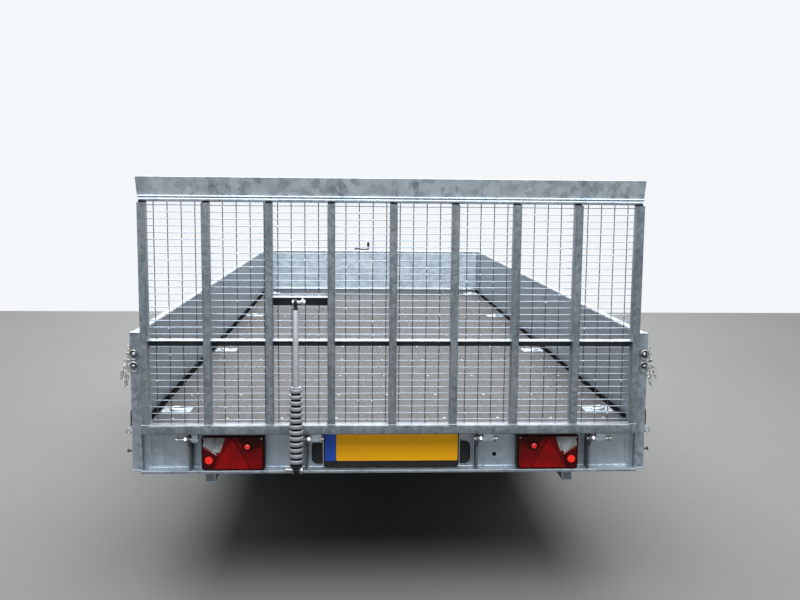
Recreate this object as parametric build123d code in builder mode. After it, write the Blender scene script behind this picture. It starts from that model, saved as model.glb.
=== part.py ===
from build123d import *
import math
import os

# Utility trailer. Millimetres, X across (right positive), Y forwards, Z up from the ground.

# --- Driving dimensions ------------------------------------------------------------------
bed_length = 4880            # from the standing ramp's mesh to the headboard's inner face
bed_width = 1980
floor_thickness = 18
wall_height = 356
wall_thickness = 25
sheet = 3
draw_length = 1350           # from the headboard's inner face to the coupling's nose

rear_beam_depth = 177
beam_sheet = 5
rave_width = 50
rave_depth = 88
rave_sheet = 4
crossmember_depth = 50
crossmember_width = 40
crossmember_spacing = 420
rail_x = 545                 # centre line of each main rail
rail_width = 50
rail_depth = 110
rail_sheet = 5
post_width = 36
post_height = 535
post_set_in = 10             # its rear face is this far ahead of the ramp's mesh

wheel_radius = 262.5
tyre_width = 195
tyre_clearance = 67          # from the tyre to the crossmembers above it
tyre_inset = 133             # from the bed's side to the tyre's middle
axle_spacing = 660
axle_group_y = 2280          # middle of the two axles, from the ramp's mesh
rim_radius = 165
rim_width = 155
rim_offset = 30              # disc face outboard of the rim's middle
drum_radius = 105
drum_width = 58
stub_radius = 17.5
running_fit = 0.05
axle_size = 50

ramp_side_gap = 16
ramp_height = 889
ramp_depth = 50
ramp_drop = 19               # its bottom rail reaches this far below the deck
ramp_pivot_drop = 43         # its pins lie this far below the deck
ramp_pivot_back = 30         # and this far behind its mesh
ramp_bottom_rail = 37
ramp_mid_rail = 27
ramp_mid_rail_rise = 346
ramp_top_rail = 18
upright_width = 28
upright_count = 9
mesh_pitch_x = 50.8
mesh_pitch_z = 25.4
mesh_wire = 4
lip_height = 66
lip_lean = 22
lip_sheet = 3
hinge_pin_radius = 8

strut_back = 88              # the strut's line is this far behind the ramp's mesh
strut_offset = 14.5          # left of the middle of its bay
strut_pivot_drop = 102       # lower pin below the ramp's pins
strut_eye_rise = 532         # upper eye above the ramp's pins
strut_rod_radius = 6
strut_tube_radius = 11
spring_length = 291
spring_radius = 25
spring_turns = 13

jockey_x = -145
jockey_ahead = 900           # from the headboard's inner face
jockey_tube_radius = 24
jockey_tube_wall = 4
jockey_wheel_radius = 100
jockey_wheel_width = 58
jockey_trail = 52
jockey_crank_reach = 124
jockey_grip_height = 75
prop_inset = 280             # from the bed's side
prop_foot_y = 100            # from the ramp's mesh
prop_drop = 162              # below the crossmembers
prop_size = 38

lamp_width = 240
lamp_height = 139
lamp_depth = 55
lamp_inset = 383             # from the bed's side to the lamp's middle
plate_width = 520
plate_height = 110
plate_sheet = 1.5
holder_width = 616
holder_height = 130
lashing_inset = 120
lashing_ys = (275, 1700, 3150, 4600)

# --- Places worked out from them ---------------------------------------------------------
rear_reach = strut_back + spring_radius
overall_length = rear_reach + bed_length + draw_length
rear_y = -overall_length / 2 + rear_reach      # plane of the standing ramp's mesh
front_y = rear_y + bed_length                  # headboard's inner face
nose_y = front_y + draw_length
half_width = bed_width / 2
cross_bottom = 2 * wheel_radius + tyre_clearance
floor_bottom = cross_bottom + crossmember_depth
floor_height = floor_bottom + floor_thickness
rail_bottom = cross_bottom - rail_depth
rear_beam_bottom = floor_height - rear_beam_depth
web_y = rear_y + 45                            # front face of the rear beam's web
rail_length = front_y - web_y
wall_top = floor_height + wall_height
tyre_x = half_width - tyre_inset
axle_ys = {"rear": rear_y + axle_group_y - axle_spacing / 2,
           "front": rear_y + axle_group_y + axle_spacing / 2}
sides = {"left": -1, "right": 1}

ramp_half_width = half_width - post_width - ramp_side_gap
ramp_bottom = floor_height - ramp_drop
ramp_top = ramp_bottom + ramp_height
ramp_mid_rail_z = ramp_bottom + ramp_mid_rail_rise
upright_pitch = (2 * ramp_half_width - upright_width) / (upright_count - 1)
pivot_y = rear_y - ramp_pivot_back
ramp_pivot_height = floor_height - ramp_pivot_drop
mesh_columns = int((2 * ramp_half_width - 98) / mesh_pitch_x) + 1
mesh_rows = int((ramp_height - ramp_bottom_rail - 38) / mesh_pitch_z) + 1
mesh_top_wire = ramp_top - 30
strut_x = -1.5 * upright_pitch - strut_offset
strut_line = rear_y - strut_back
strut_pivot_z = ramp_pivot_height - strut_pivot_drop
strut_eye_z = ramp_pivot_height + strut_eye_rise
spring_bottom = strut_pivot_z + 20
spring_top = spring_bottom + spring_length
lamp_x = half_width - lamp_inset
prop_x = half_width - prop_inset
prop_z = cross_bottom - prop_drop
lashing_x = half_width - lashing_inset
# Each hinge: bracket's middle, then its lug's and its pin's ends counted from the bracket.
outer_hinge = half_width - 222
inner_hinge = holder_width / 2 + 20
hinges = ((-outer_hinge, 12, 35, -53, 36),
          (-inner_hinge, 20, 60, -12, 68),
          (inner_hinge, 20, 60, -12, 78),
          (outer_hinge - 4, 20, 60, -12, 84))

os.makedirs("parts", exist_ok=True)


def save(piece, node):
    """Label a finished piece and write its STEP file."""
    piece.part.label = node
    export_step(piece.part, f"parts/{node}.step")


def across(y):
    """Plane of a cross-section at y: local X is X, local Y is Z, and its normal points back."""
    return Plane.XZ.offset(-y)


def about_x(y, z):
    """Plane through a cross axle at (y, z): local X is X, local Y is the radius."""
    return Plane(origin=(0, y, z), x_dir=(1, 0, 0), z_dir=(0, -1, 0))


def rect(x0, x1, y0, y1, mode=Mode.ADD):
    """Rectangle between two corners of the current sketch."""
    with Locations(((x0 + x1) / 2, (y0 + y1) / 2)):
        Rectangle(abs(x1 - x0), abs(y1 - y0), mode=mode)


# --- Chassis -------------------------------------------------------------------------------
with BuildPart() as chassis_rails:
    for side in sides.values():
        with BuildSketch(across(web_y)):
            inner = side * (rail_x - rail_width / 2)
            outer = side * (rail_x + rail_width / 2)
            rect(inner, outer, rail_bottom, cross_bottom)
            rect(inner + side * rail_sheet, outer, rail_bottom + rail_sheet,
                 cross_bottom - rail_sheet, Mode.SUBTRACT)
        extrude(amount=-rail_length)
save(chassis_rails, "chassis_rails")

cross_half = half_width - rave_sheet
cross_count = int((bed_length - 200) / crossmember_spacing) + 1
cross_pitch = (bed_length - 250) / (cross_count - 1)
cross_ys = [rear_y + 130 + i * cross_pitch for i in range(cross_count)]
with BuildPart() as crossmembers:
    for y in cross_ys:
        with BuildSketch(Plane.YZ.offset(-cross_half)):
            rect(y - crossmember_width / 2, y + crossmember_width / 2, cross_bottom, floor_bottom)
            rect(y - crossmember_width / 2 + sheet, y + crossmember_width / 2,
                 cross_bottom + sheet, floor_bottom - sheet, Mode.SUBTRACT)
        extrude(amount=2 * cross_half)
save(crossmembers, "crossmembers")

with BuildPart() as side_raves:
    for side in sides.values():
        with BuildSketch(across(web_y)):
            outer = side * half_width
            inner = side * (half_width - rave_width)
            rect(inner, outer, floor_height - rave_depth, floor_height)
            rect(inner, outer - side * rave_sheet, floor_height - rave_depth + rave_sheet,
                 floor_height - rave_sheet, Mode.SUBTRACT)
        extrude(amount=-rail_length)
save(side_raves, "side_raves")

post_inner = half_width - post_width
with BuildPart() as rear_beam:
    with BuildSketch(Plane.YZ.offset(-post_inner)):
        rect(web_y - beam_sheet, web_y, rear_beam_bottom, floor_height)
        rect(rear_y - 25, web_y, rear_beam_bottom, rear_beam_bottom + beam_sheet)
        rect(rear_y + 5, web_y, floor_height - beam_sheet, floor_height)
    extrude(amount=2 * post_inner)
save(rear_beam, "rear_beam")

with BuildPart() as front_beam:
    with BuildSketch(Plane.YZ.offset(-half_width)):
        rect(front_y, front_y + 50, rail_bottom, floor_height)
        rect(front_y + beam_sheet, front_y + 50, rail_bottom + beam_sheet,
             floor_height - beam_sheet, Mode.SUBTRACT)
    extrude(amount=bed_width)
save(front_beam, "front_beam")

with BuildPart() as corner_posts:
    for side in sides.values():
        with BuildSketch(Plane.XY.offset(rear_beam_bottom)):
            rect(side * post_inner, side * half_width, rear_y + post_set_in, web_y)
        extrude(amount=post_height)
        with BuildSketch(Plane.XY.offset(floor_height)):
            rect(side * post_inner, side * half_width, front_y, front_y + 50)
        extrude(amount=wall_height)
save(corner_posts, "corner_posts")

board_half = half_width - rave_width - 5
board_split = (web_y + front_y) / 2
with BuildPart() as deck_boards:
    for y0, y1 in ((web_y, board_split - 1), (board_split + 1, front_y)):
        with BuildSketch(Plane.XY.offset(floor_bottom)):
            rect(-board_half, board_half, y0, y1)
        extrude(amount=floor_thickness)
    with Locations(*[(side * lashing_x, rear_y + y, floor_height - 4)
                     for side in sides.values() for y in lashing_ys]):
        Box(124, 104, 8, mode=Mode.SUBTRACT)
save(deck_boards, "deck_boards")

with BuildPart() as lashing_points:
    for side in sides.values():
        for y in lashing_ys:
            with Locations((side * lashing_x, rear_y + y, floor_height - 5)):
                Box(120, 100, 6)
                Cylinder(42, 4, mode=Mode.SUBTRACT,
                         align=(Align.CENTER, Align.CENTER, Align.MIN))
                Cylinder(34, 5, align=(Align.CENTER, Align.CENTER, Align.MIN))
                Cylinder(24, 5, mode=Mode.SUBTRACT,
                         align=(Align.CENTER, Align.CENTER, Align.MIN))
save(lashing_points, "lashing_points")

# --- Sides and headboard: a flush inner skin on a pressed frame ------------------------------
rib_count = 9
wall_length = front_y - web_y
rib_pitch = (wall_length - 40) / (rib_count - 1)
pocket_height = wall_height - 75
for name, side in sides.items():
    with BuildPart() as side_wall:
        with BuildSketch(across(web_y)):
            rect(side * (half_width - wall_thickness), side * half_width, floor_height, wall_top)
        extrude(amount=-wall_length)
        outer = Plane.YZ.offset(side * half_width)
        with BuildSketch(outer):
            for i in range(rib_count - 1):
                middle = web_y + 20 + (i + 0.5) * rib_pitch
                with Locations((middle, floor_height + 35 + pocket_height / 2)):
                    Rectangle(rib_pitch - 40, pocket_height)
        extrude(amount=-side * (wall_thickness - sheet), mode=Mode.SUBTRACT)
    save(side_wall, f"side_wall_{name}")

with BuildPart() as headboard:
    with BuildSketch(Plane.XY.offset(floor_height)):
        rect(-post_inner, post_inner, front_y, front_y + wall_thickness)
    extrude(amount=wall_height)
    with BuildSketch(across(front_y + wall_thickness)):
        for i in range(4):
            with Locations(((i - 1.5) * post_inner / 2, floor_height + wall_height / 2)):
                Rectangle(post_inner / 2 - 40, pocket_height)
    extrude(amount=wall_thickness - sheet, mode=Mode.SUBTRACT)
save(headboard, "headboard")

# --- Loading ramp ----------------------------------------------------------------------------
ramp_back = rear_y - 5 - ramp_depth
ramp_front = rear_y - 5
with BuildPart() as ramp_frame:
    with BuildSketch(Plane.YZ.offset(-ramp_half_width)):
        rect(ramp_back, ramp_front, ramp_bottom, ramp_bottom + ramp_bottom_rail)
    extrude(amount=2 * ramp_half_width)
    with BuildSketch(Plane.YZ.offset(-ramp_half_width)):
        rect(ramp_back, ramp_front, ramp_mid_rail_z - ramp_mid_rail / 2,
             ramp_mid_rail_z + ramp_mid_rail / 2)
        rect(ramp_front - 20, ramp_front, ramp_top - ramp_top_rail, ramp_top)
    extrude(amount=2 * ramp_half_width)
    with BuildSketch(Plane.XY.offset(ramp_bottom)):
        for i in range(upright_count):
            x = (i - (upright_count - 1) / 2) * upright_pitch
            rect(x - upright_width / 2, x + upright_width / 2, ramp_back, ramp_front)
    extrude(amount=ramp_top - ramp_top_rail - ramp_bottom)
    # Carrier for the assist strut, between the second and third uprights.
    with BuildSketch(Plane.XY.offset(strut_eye_z - 15)):
        x0 = -2 * upright_pitch
        rect(x0, x0 + upright_pitch, ramp_back, ramp_front)
    extrude(amount=30)
save(ramp_frame, "ramp_frame")

ramp_middle_z = (ramp_bottom + ramp_top) / 2
mesh_middle_z = mesh_top_wire - (mesh_rows - 1) * mesh_pitch_z / 2
hole_centres = GridLocations(mesh_pitch_x, mesh_pitch_z, mesh_columns - 1, mesh_rows - 1)
mesh_holes = [Pos(0, mesh_middle_z - ramp_middle_z) * hole
              * Wire.make_rect(mesh_pitch_x - mesh_wire, mesh_pitch_z - mesh_wire)
              for hole in hole_centres.locations]
mesh_sheet = Face(Wire.make_rect(2 * ramp_half_width, ramp_top - ramp_bottom), mesh_holes)
with BuildPart() as ramp_mesh:
    extrude(across(ramp_front).location * Pos(0, ramp_middle_z) * mesh_sheet,
            amount=mesh_wire, dir=(0, 1, 0))
save(ramp_mesh, "ramp_mesh")

lip_top_y = rear_y - 1 - lip_height * math.tan(math.radians(lip_lean))
with BuildPart() as ramp_lip:
    with BuildSketch(Plane.YZ.offset(-ramp_half_width - 4)):
        with BuildLine():
            Polyline((ramp_front + mesh_wire, ramp_top), (ramp_front + mesh_wire, ramp_top + 8),
                     (lip_top_y + lip_sheet, ramp_top + 8 + lip_height),
                     (lip_top_y, ramp_top + 8 + lip_height),
                     (ramp_front + mesh_wire - lip_sheet, ramp_top + 8),
                     (ramp_front - 20, ramp_top + 8), (ramp_front - 20, ramp_top), close=True)
        make_face()
    extrude(amount=2 * ramp_half_width + 8)
save(ramp_lip, "ramp_lip")

pin_plane = about_x(pivot_y, ramp_pivot_height)
with BuildPart() as ramp_hinge_lugs:
    for x, lug_start, lug_end, pin_start, pin_end in hinges:
        with BuildSketch(Plane.YZ.offset(x + lug_start)):
            rect(pivot_y - 18, pivot_y + 18, ramp_pivot_height, ramp_bottom)
            with Locations((pivot_y, ramp_pivot_height)):
                Circle(18)
        extrude(amount=lug_end - lug_start)
        with BuildSketch(pin_plane):
            rect(x + pin_start, x + pin_end, 0, hinge_pin_radius)
        revolve(axis=Axis((0, pivot_y, ramp_pivot_height), (1, 0, 0)))
    # Bracket and stub bolt that the assist strut's eye hooks to.
    with BuildSketch(Plane.YZ.offset(strut_x + 22)):
        rect(strut_line, ramp_back, strut_eye_z - 12, strut_eye_z + 12)
        with Locations((strut_line, strut_eye_z)):
            Circle(12)
    extrude(amount=6)
    with BuildSketch(about_x(strut_line, strut_eye_z)):
        rect(strut_x + 12, strut_x + 36, 0, 6)
    revolve(axis=Axis((0, strut_line, strut_eye_z), (1, 0, 0)))
save(ramp_hinge_lugs, "ramp_hinge_lugs")

with BuildPart() as ramp_hinge_brackets:
    for x, *_ in hinges:
        with BuildSketch(Plane.YZ.offset(x - 4)):
            with BuildLine():
                Polyline((web_y - beam_sheet, rear_beam_bottom + beam_sheet),
                         (rear_y - 20, rear_beam_bottom + beam_sheet),
                         (pivot_y + 4, ramp_pivot_height - 30),
                         (pivot_y - 14, ramp_pivot_height - 10),
                         (pivot_y - 14, ramp_pivot_height + 10),
                         (web_y - beam_sheet, ramp_pivot_height + 10), close=True)
            make_face()
            with Locations((pivot_y, ramp_pivot_height)):
                Circle(18)
                Circle(hinge_pin_radius + running_fit, mode=Mode.SUBTRACT)
        extrude(amount=8)
save(ramp_hinge_brackets, "ramp_hinge_brackets")

with BuildPart() as ramp_latches:
    for side in sides.values():
        for z, radius in ((floor_height + 281, 13), (floor_height + 235, 10)):
            with BuildSketch(across(rear_y + post_set_in)):
                with Locations((side * (half_width - post_width / 2), z)):
                    Circle(radius)
            extrude(amount=14)
        for z, radius in ((floor_height - 15, 11), (floor_height - 90, 8)):
            with BuildSketch(Plane.YZ.offset(side * half_width)):
                with Locations((rear_y + post_set_in + 17, z)):
                    Circle(radius)
            extrude(amount=side * 12)
save(ramp_latches, "ramp_latches")

# --- Ramp assist strut -------------------------------------------------------------------------
with BuildPart() as assist_mount:
    for dx in (-16, 13):
        with BuildSketch(Plane.YZ.offset(strut_x + dx)):
            with BuildLine():
                Polyline((rear_y - 25, rear_beam_bottom), (rear_y - 25, rear_beam_bottom + 30),
                         (strut_line, strut_pivot_z + 14), (strut_line - 10, strut_pivot_z),
                         (strut_line, strut_pivot_z - 14), (rear_y - 40, rear_beam_bottom),
                         close=True)
            make_face()
        extrude(amount=3)
    with BuildSketch(about_x(strut_line, strut_pivot_z)):
        rect(strut_x - 20, strut_x + 20, 0, strut_rod_radius)
    revolve(axis=Axis((0, strut_line, strut_pivot_z), (1, 0, 0)))
save(assist_mount, "assist_mount")

strut_base = Plane(origin=(strut_x, strut_line, 0))
with BuildPart() as assist_rod:
    with BuildSketch(Plane.YZ.offset(strut_x - 10)):
        with Locations((strut_line, strut_pivot_z)):
            Circle(12)
        rect(strut_line - 6, strut_line + 6, strut_pivot_z, spring_bottom - 3)
        with Locations((strut_line, strut_pivot_z)):
            Circle(strut_rod_radius + running_fit, mode=Mode.SUBTRACT)
    extrude(amount=20)
    with BuildSketch(strut_base.offset(spring_bottom - 5)):
        Circle(spring_radius - 1)
    extrude(amount=5)
    with BuildSketch(strut_base.offset(spring_bottom)):
        Circle(strut_rod_radius)
    extrude(amount=strut_eye_z - 249 - spring_bottom)
save(assist_rod, "assist_rod")

with BuildPart() as assist_spring:
    with BuildSketch(strut_base.offset(spring_bottom)):
        Circle(spring_radius - 5)
        Circle(spring_radius - 9, mode=Mode.SUBTRACT)
    extrude(amount=spring_top - spring_bottom)
    turn = (spring_top - spring_bottom) / spring_turns
    for i in range(spring_turns):
        with BuildSketch(strut_base.offset(spring_bottom + (i + 0.25) * turn)):
            Circle(spring_radius)
            Circle(spring_radius - 9, mode=Mode.SUBTRACT)
        extrude(amount=turn / 2)
save(assist_spring, "assist_spring")

tube_end = strut_eye_z - 30
with BuildPart() as assist_tube:
    with BuildSketch(strut_base.offset(spring_top)):
        Circle(strut_tube_radius)
        Circle(strut_rod_radius + running_fit, mode=Mode.SUBTRACT)
    extrude(amount=tube_end - spring_top)
    with BuildSketch(strut_base.offset(spring_top)):
        Circle(20)
        Circle(strut_rod_radius + running_fit, mode=Mode.SUBTRACT)
    extrude(amount=6)
    with BuildSketch(strut_base.offset(tube_end)):
        Circle(strut_tube_radius)
    extrude(amount=4)
    with BuildSketch(Plane.YZ.offset(strut_x - 6)):
        rect(strut_line - 9, strut_line + 9, tube_end, strut_eye_z)
        with Locations((strut_line, strut_eye_z)):
            Circle(12)
            Circle(6.3, mode=Mode.SUBTRACT)
    extrude(amount=12)
save(assist_tube, "assist_tube")

# --- Lamps and plate ---------------------------------------------------------------------------
lamp_bottom = rear_beam_bottom + beam_sheet
for name, side in sides.items():
    with BuildPart() as tail_lamp:
        with BuildSketch(across(web_y - beam_sheet)):
            with Locations((side * lamp_x, lamp_bottom + lamp_height / 2)):
                RectangleRounded(lamp_width, lamp_height, 12)
        extrude(amount=lamp_depth)
    save(tail_lamp, f"tail_lamp_{name}")

holder_bottom = rear_beam_bottom + beam_sheet + 5
with BuildPart() as plate_holder:
    with BuildSketch(across(web_y - beam_sheet)):
        with Locations((0, holder_bottom + holder_height / 2)):
            RectangleRounded(holder_width, holder_height, 24)
    extrude(amount=24)
save(plate_holder, "plate_holder")

with BuildPart() as number_plate:
    with BuildSketch(across(web_y - beam_sheet - 24)):
        with Locations((0, holder_bottom + holder_height - plate_height / 2 - 4)):
            RectangleRounded(plate_width, plate_height, 8)
    extrude(amount=plate_sheet)
save(number_plate, "number_plate")

with BuildPart() as marker_lamps:
    for side in sides.values():
        for y in (rear_y + 900, rear_y + 2440, front_y - 500):
            with BuildSketch(Plane.YZ.offset(side * half_width)):
                with Locations((y, floor_height - rave_depth / 2)):
                    RectangleRounded(100, 40, 8)
            extrude(amount=side * 14)
save(marker_lamps, "marker_lamps")

# --- Axles, springs and wheels -------------------------------------------------------------------
disc_x = tyre_x + rim_offset
drum_inner_x = disc_x - drum_width
backplate_x = drum_inner_x - 8
spring_leaf = 7
spring_leaves = 4
spring_width = 45
spring_half = 290
spring_sag = 62
spring_bend = (spring_half**2 + spring_sag**2) / (2 * spring_sag)
pad_height = 6
pack_bottom = wheel_radius + axle_size / 2 + pad_height
main_leaf_z = pack_bottom + (spring_leaves - 1) * spring_leaf
eye_radius = 15
eye_z = main_leaf_z + spring_leaf / 2 + spring_sag
spring_centre_z = main_leaf_z + spring_bend
for name, y in axle_ys.items():
    axis = Axis((0, y, wheel_radius), (1, 0, 0))
    with BuildPart() as axle:
        with BuildSketch(Plane.YZ.offset(-backplate_x)):
            with Locations((y, wheel_radius)):
                Rectangle(axle_size, axle_size)
        extrude(amount=2 * backplate_x)
        with BuildSketch(about_x(y, wheel_radius)):
            rect(-disc_x - 12, disc_x + 12, 0, stub_radius)
            for side in sides.values():
                rect(side * backplate_x, side * (backplate_x + 4), 0, drum_radius + 8)
        revolve(axis=axis)
        for side in sides.values():
            with BuildSketch(Plane.XY.offset(wheel_radius + axle_size / 2)):
                rect(side * (rail_x - 40), side * (rail_x + 40), y - 55, y + 55)
            extrude(amount=pad_height)
    save(axle, f"axle_{name}")


with BuildPart() as leaf_springs:
    for side in sides.values():
        for y in axle_ys.values():
            with BuildSketch(Plane.YZ.offset(side * rail_x - spring_width / 2)):
                for index in range(spring_leaves):
                    inner = spring_bend - spring_leaf + index * spring_leaf
                    outer = inner + spring_leaf
                    reach = math.asin(spring_half * (1 - 0.22 * index) / spring_bend)
                    ends = [(y + r * math.sin(a), spring_centre_z - r * math.cos(a))
                            for r in (inner, outer) for a in (-reach, 0, reach)]
                    with BuildLine():
                        ThreePointArc(ends[0], ends[1], ends[2])
                        Line(ends[2], ends[5])
                        ThreePointArc(ends[5], ends[4], ends[3])
                        Line(ends[3], ends[0])
                    make_face()
                for end in (-1, 1):
                    with Locations((y + end * spring_half, eye_z)):
                        Circle(eye_radius)
                        Circle(8.3, mode=Mode.SUBTRACT)
            extrude(amount=spring_width)
save(leaf_springs, "leaf_springs")

hanger_ys = (axle_ys["rear"] - spring_half, axle_ys["front"] + spring_half)
group_y = rear_y + axle_group_y
rocker_z = eye_z + 62
with BuildPart() as spring_hangers:
    for side in sides.values():
        for dx in (-spring_width / 2 - 7, spring_width / 2 + 1):
            with BuildSketch(Plane.YZ.offset(side * rail_x + dx)):
                for y in hanger_ys:
                    with BuildLine():
                        Polyline((y - 60, rail_bottom), (y + 60, rail_bottom),
                                 (y + 18, eye_z), (y - 18, eye_z), close=True)
                    make_face()
                    with Locations((y, eye_z)):
                        Circle(18)
            extrude(amount=6)
        for y in hanger_ys:
            with BuildSketch(about_x(y, eye_z)):
                rect(side * rail_x - 34, side * rail_x + 34, 0, 8)
            revolve(axis=Axis((0, y, eye_z), (1, 0, 0)))
        for dx in (-spring_width / 2 - 15, spring_width / 2 + 9):
            with BuildSketch(Plane.YZ.offset(side * rail_x + dx)):
                with BuildLine():
                    Polyline((group_y - 60, rail_bottom), (group_y + 60, rail_bottom),
                             (group_y + 18, rocker_z), (group_y - 18, rocker_z), close=True)
                make_face()
                with Locations((group_y, rocker_z)):
                    Circle(18)
            extrude(amount=6)
        with BuildSketch(about_x(group_y, rocker_z)):
            rect(side * rail_x - 42, side * rail_x + 42, 0, 8)
        revolve(axis=Axis((0, group_y, rocker_z), (1, 0, 0)))
save(spring_hangers, "spring_hangers")

with BuildPart() as spring_rockers:
    for side in sides.values():
        for dx in (-spring_width / 2 - 7.5, spring_width / 2 + 1.5):
            with BuildSketch(Plane.YZ.offset(side * rail_x + dx)):
                with BuildLine():
                    Polyline((group_y - 55, eye_z - 16), (group_y + 55, eye_z - 16),
                             (group_y + 58, eye_z + 12), (group_y + 18, rocker_z + 18),
                             (group_y - 18, rocker_z + 18), (group_y - 58, eye_z + 12),
                             close=True)
                make_face()
                with Locations((group_y, rocker_z)):
                    Circle(8.3, mode=Mode.SUBTRACT)
            extrude(amount=6)
        for end in (-1, 1):
            y = group_y + end * (axle_spacing / 2 - spring_half)
            with BuildSketch(about_x(y, eye_z)):
                rect(side * rail_x - 32, side * rail_x + 32, 0, 8)
            revolve(axis=Axis((0, y, eye_z), (1, 0, 0)))
save(spring_rockers, "spring_rockers")

bead = rim_radius + 0.3
flange_top = rim_radius + 13
bulge = (rim_radius + wheel_radius) / 2
shoulder = wheel_radius - 16.5
half = tyre_width / 2
tread = half - 25.5
low = rim_width / 2 - 1
bolt_circle = (drum_radius + rim_radius) / 2 - 7
for axle_name, y in axle_ys.items():
    axis = Axis((0, y, wheel_radius), (1, 0, 0))
    for name, side in sides.items():
        where = f"{axle_name}_{name}"
        middle = side * tyre_x
        with BuildPart() as tyre:
            with BuildSketch(about_x(y, wheel_radius)):
                with BuildLine():
                    Polyline((middle - low, flange_top), (middle - low, bead),
                             (middle + low, bead), (middle + low, flange_top))
                    for end in (1, -1):
                        ThreePointArc((middle + end * low, flange_top),
                                      (middle + end * half, bulge),
                                      (middle + end * (half - 9.5), shoulder))
                        ThreePointArc((middle + end * (half - 9.5), shoulder),
                                      (middle + end * (half - 14.5), shoulder + 10),
                                      (middle + end * tread, shoulder + 14))
                    ThreePointArc((middle + tread, shoulder + 14), (middle, wheel_radius),
                                  (middle - tread, shoulder + 14))
                make_face()
            revolve(axis=axis)
        save(tyre, f"tyre_{where}")

        disc = side * disc_x
        with BuildPart() as rim:
            with BuildSketch(about_x(y, wheel_radius)):
                edge = rim_width / 2
                rect(middle - edge, middle + edge, rim_radius - 5, rim_radius)
                for end in (-1, 1):
                    rect(middle + end * edge, middle + end * (edge + 5), rim_radius - 5,
                         rim_radius + 11)
                rect(disc, disc + side * 6, 34, rim_radius - 4)
            revolve(axis=axis)
            with BuildSketch(Plane.YZ.offset(disc)):
                with Locations((y, wheel_radius)):
                    with PolarLocations(bolt_circle, 10):
                        Circle(13)
            extrude(amount=side * 6, mode=Mode.SUBTRACT)
        save(rim, f"rim_{where}")

        with BuildPart() as hub_drum:
            with BuildSketch(about_x(y, wheel_radius)):
                rect(side * drum_inner_x, disc, stub_radius + running_fit, drum_radius)
                rect(disc, side * (disc_x + 14), stub_radius + running_fit, 32)
                rect(side * (disc_x + 14), side * (disc_x + 36), 0, 30)
            revolve(axis=axis)
        save(hub_drum, f"hub_drum_{where}")

# --- Drawbar and coupling ----------------------------------------------------------------------
arm_width = 60
arm_depth = 80
arm_top = rail_bottom
arm_start = front_y - 650
arm_bend = front_y - 40
housing_half = 52
arm_end = nose_y - 400
arm_end_x = housing_half + arm_width / 2
with BuildPart() as drawbar:
    with BuildSketch(Plane.XY.offset(arm_top - arm_depth)):
        for side in sides.values():
            rect(side * (rail_x - arm_width / 2), side * (rail_x + arm_width / 2),
                 arm_start, arm_bend)
            with Locations((side * rail_x, arm_bend)):
                Circle(arm_width / 2)
            run = Vector(side * (arm_end_x - rail_x), arm_end - 260 - arm_bend)
            angle = math.degrees(math.atan2(run.Y, run.X))
            middle = Location((side * (rail_x + arm_end_x) / 2, (arm_bend + arm_end - 260) / 2, 0),
                              (0, 0, angle))
            with Locations(middle):
                Rectangle(run.length, arm_width)
            with Locations((side * arm_end_x, arm_end - 260)):
                Circle(arm_width / 2)
            rect(side * housing_half, side * (housing_half + arm_width), arm_end - 260, arm_end)
        rect(-rail_x, rail_x, arm_start + 10, arm_start + 60)
        rect(-arm_end_x, arm_end_x, arm_end - 290, arm_end - 262)
    extrude(amount=arm_depth)
save(drawbar, "drawbar")

shaft_z = arm_top - 26
coupling_height = shaft_z - 26
with BuildPart() as overrun_housing:
    with BuildSketch(across(arm_end - 262)):
        with Locations((0, shaft_z)):
            Rectangle(2 * housing_half, 84)
            Circle(25 + running_fit, mode=Mode.SUBTRACT)
    extrude(amount=-(262 + 20))
save(overrun_housing, "overrun_housing")

head_back = nose_y - 190
with BuildPart() as coupling_shaft:
    with BuildSketch(across(arm_end - 240)):
        with Locations((0, shaft_z)):
            Circle(25)
    extrude(amount=-(head_back + 60 - arm_end + 240))
save(coupling_shaft, "coupling_shaft")

with BuildPart() as shaft_gaiter:
    with BuildSketch(Plane(origin=(0, 0, shaft_z), x_dir=(0, 1, 0), z_dir=(0, 0, 1))):
        start = arm_end + 20
        count = 7
        step = (head_back - start) / count
        rect(start, head_back, -32, -25.3)
        for i in range(count):
            rect(start + (i + 0.2) * step, start + (i + 0.8) * step, -42, -31)
    revolve(axis=Axis((0, 0, shaft_z), (0, 1, 0)))
save(shaft_gaiter, "shaft_gaiter")

ball_radius = 25.2
ball_y = nose_y - 42
cup_depth = 20
with BuildPart() as coupling_head:
    with BuildSketch(across(head_back)):
        with Locations((0, shaft_z)):
            RectangleRounded(76, 74, 14)
            Circle(25.3, mode=Mode.SUBTRACT)
    extrude(amount=-70)
    with BuildSketch(Plane.XY.offset(coupling_height - cup_depth)):
        with Locations((0, ball_y)):
            Circle(42)
        rect(-34, 34, head_back + 60, ball_y)
    extrude(amount=cup_depth + 42)
    with Locations((0, ball_y, coupling_height)):
        Sphere(ball_radius, mode=Mode.SUBTRACT)
        Cylinder(ball_radius, cup_depth + 2, mode=Mode.SUBTRACT,
                 align=(Align.CENTER, Align.CENTER, Align.MAX))
save(coupling_head, "coupling_head")

with BuildPart() as coupling_handle:
    with BuildSketch(Plane.YZ.offset(-14)):
        with BuildLine():
            Polyline((ball_y + 10, coupling_height + 42), (ball_y + 18, coupling_height + 56),
                     (head_back + 20, coupling_height + 112), (head_back - 60, coupling_height + 112),
                     (head_back - 60, coupling_height + 100), (head_back + 16, coupling_height + 98),
                     (ball_y - 40, coupling_height + 62), (ball_y - 40, coupling_height + 42),
                     close=True)
        make_face()
    extrude(amount=28)
save(coupling_handle, "coupling_handle")

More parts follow.
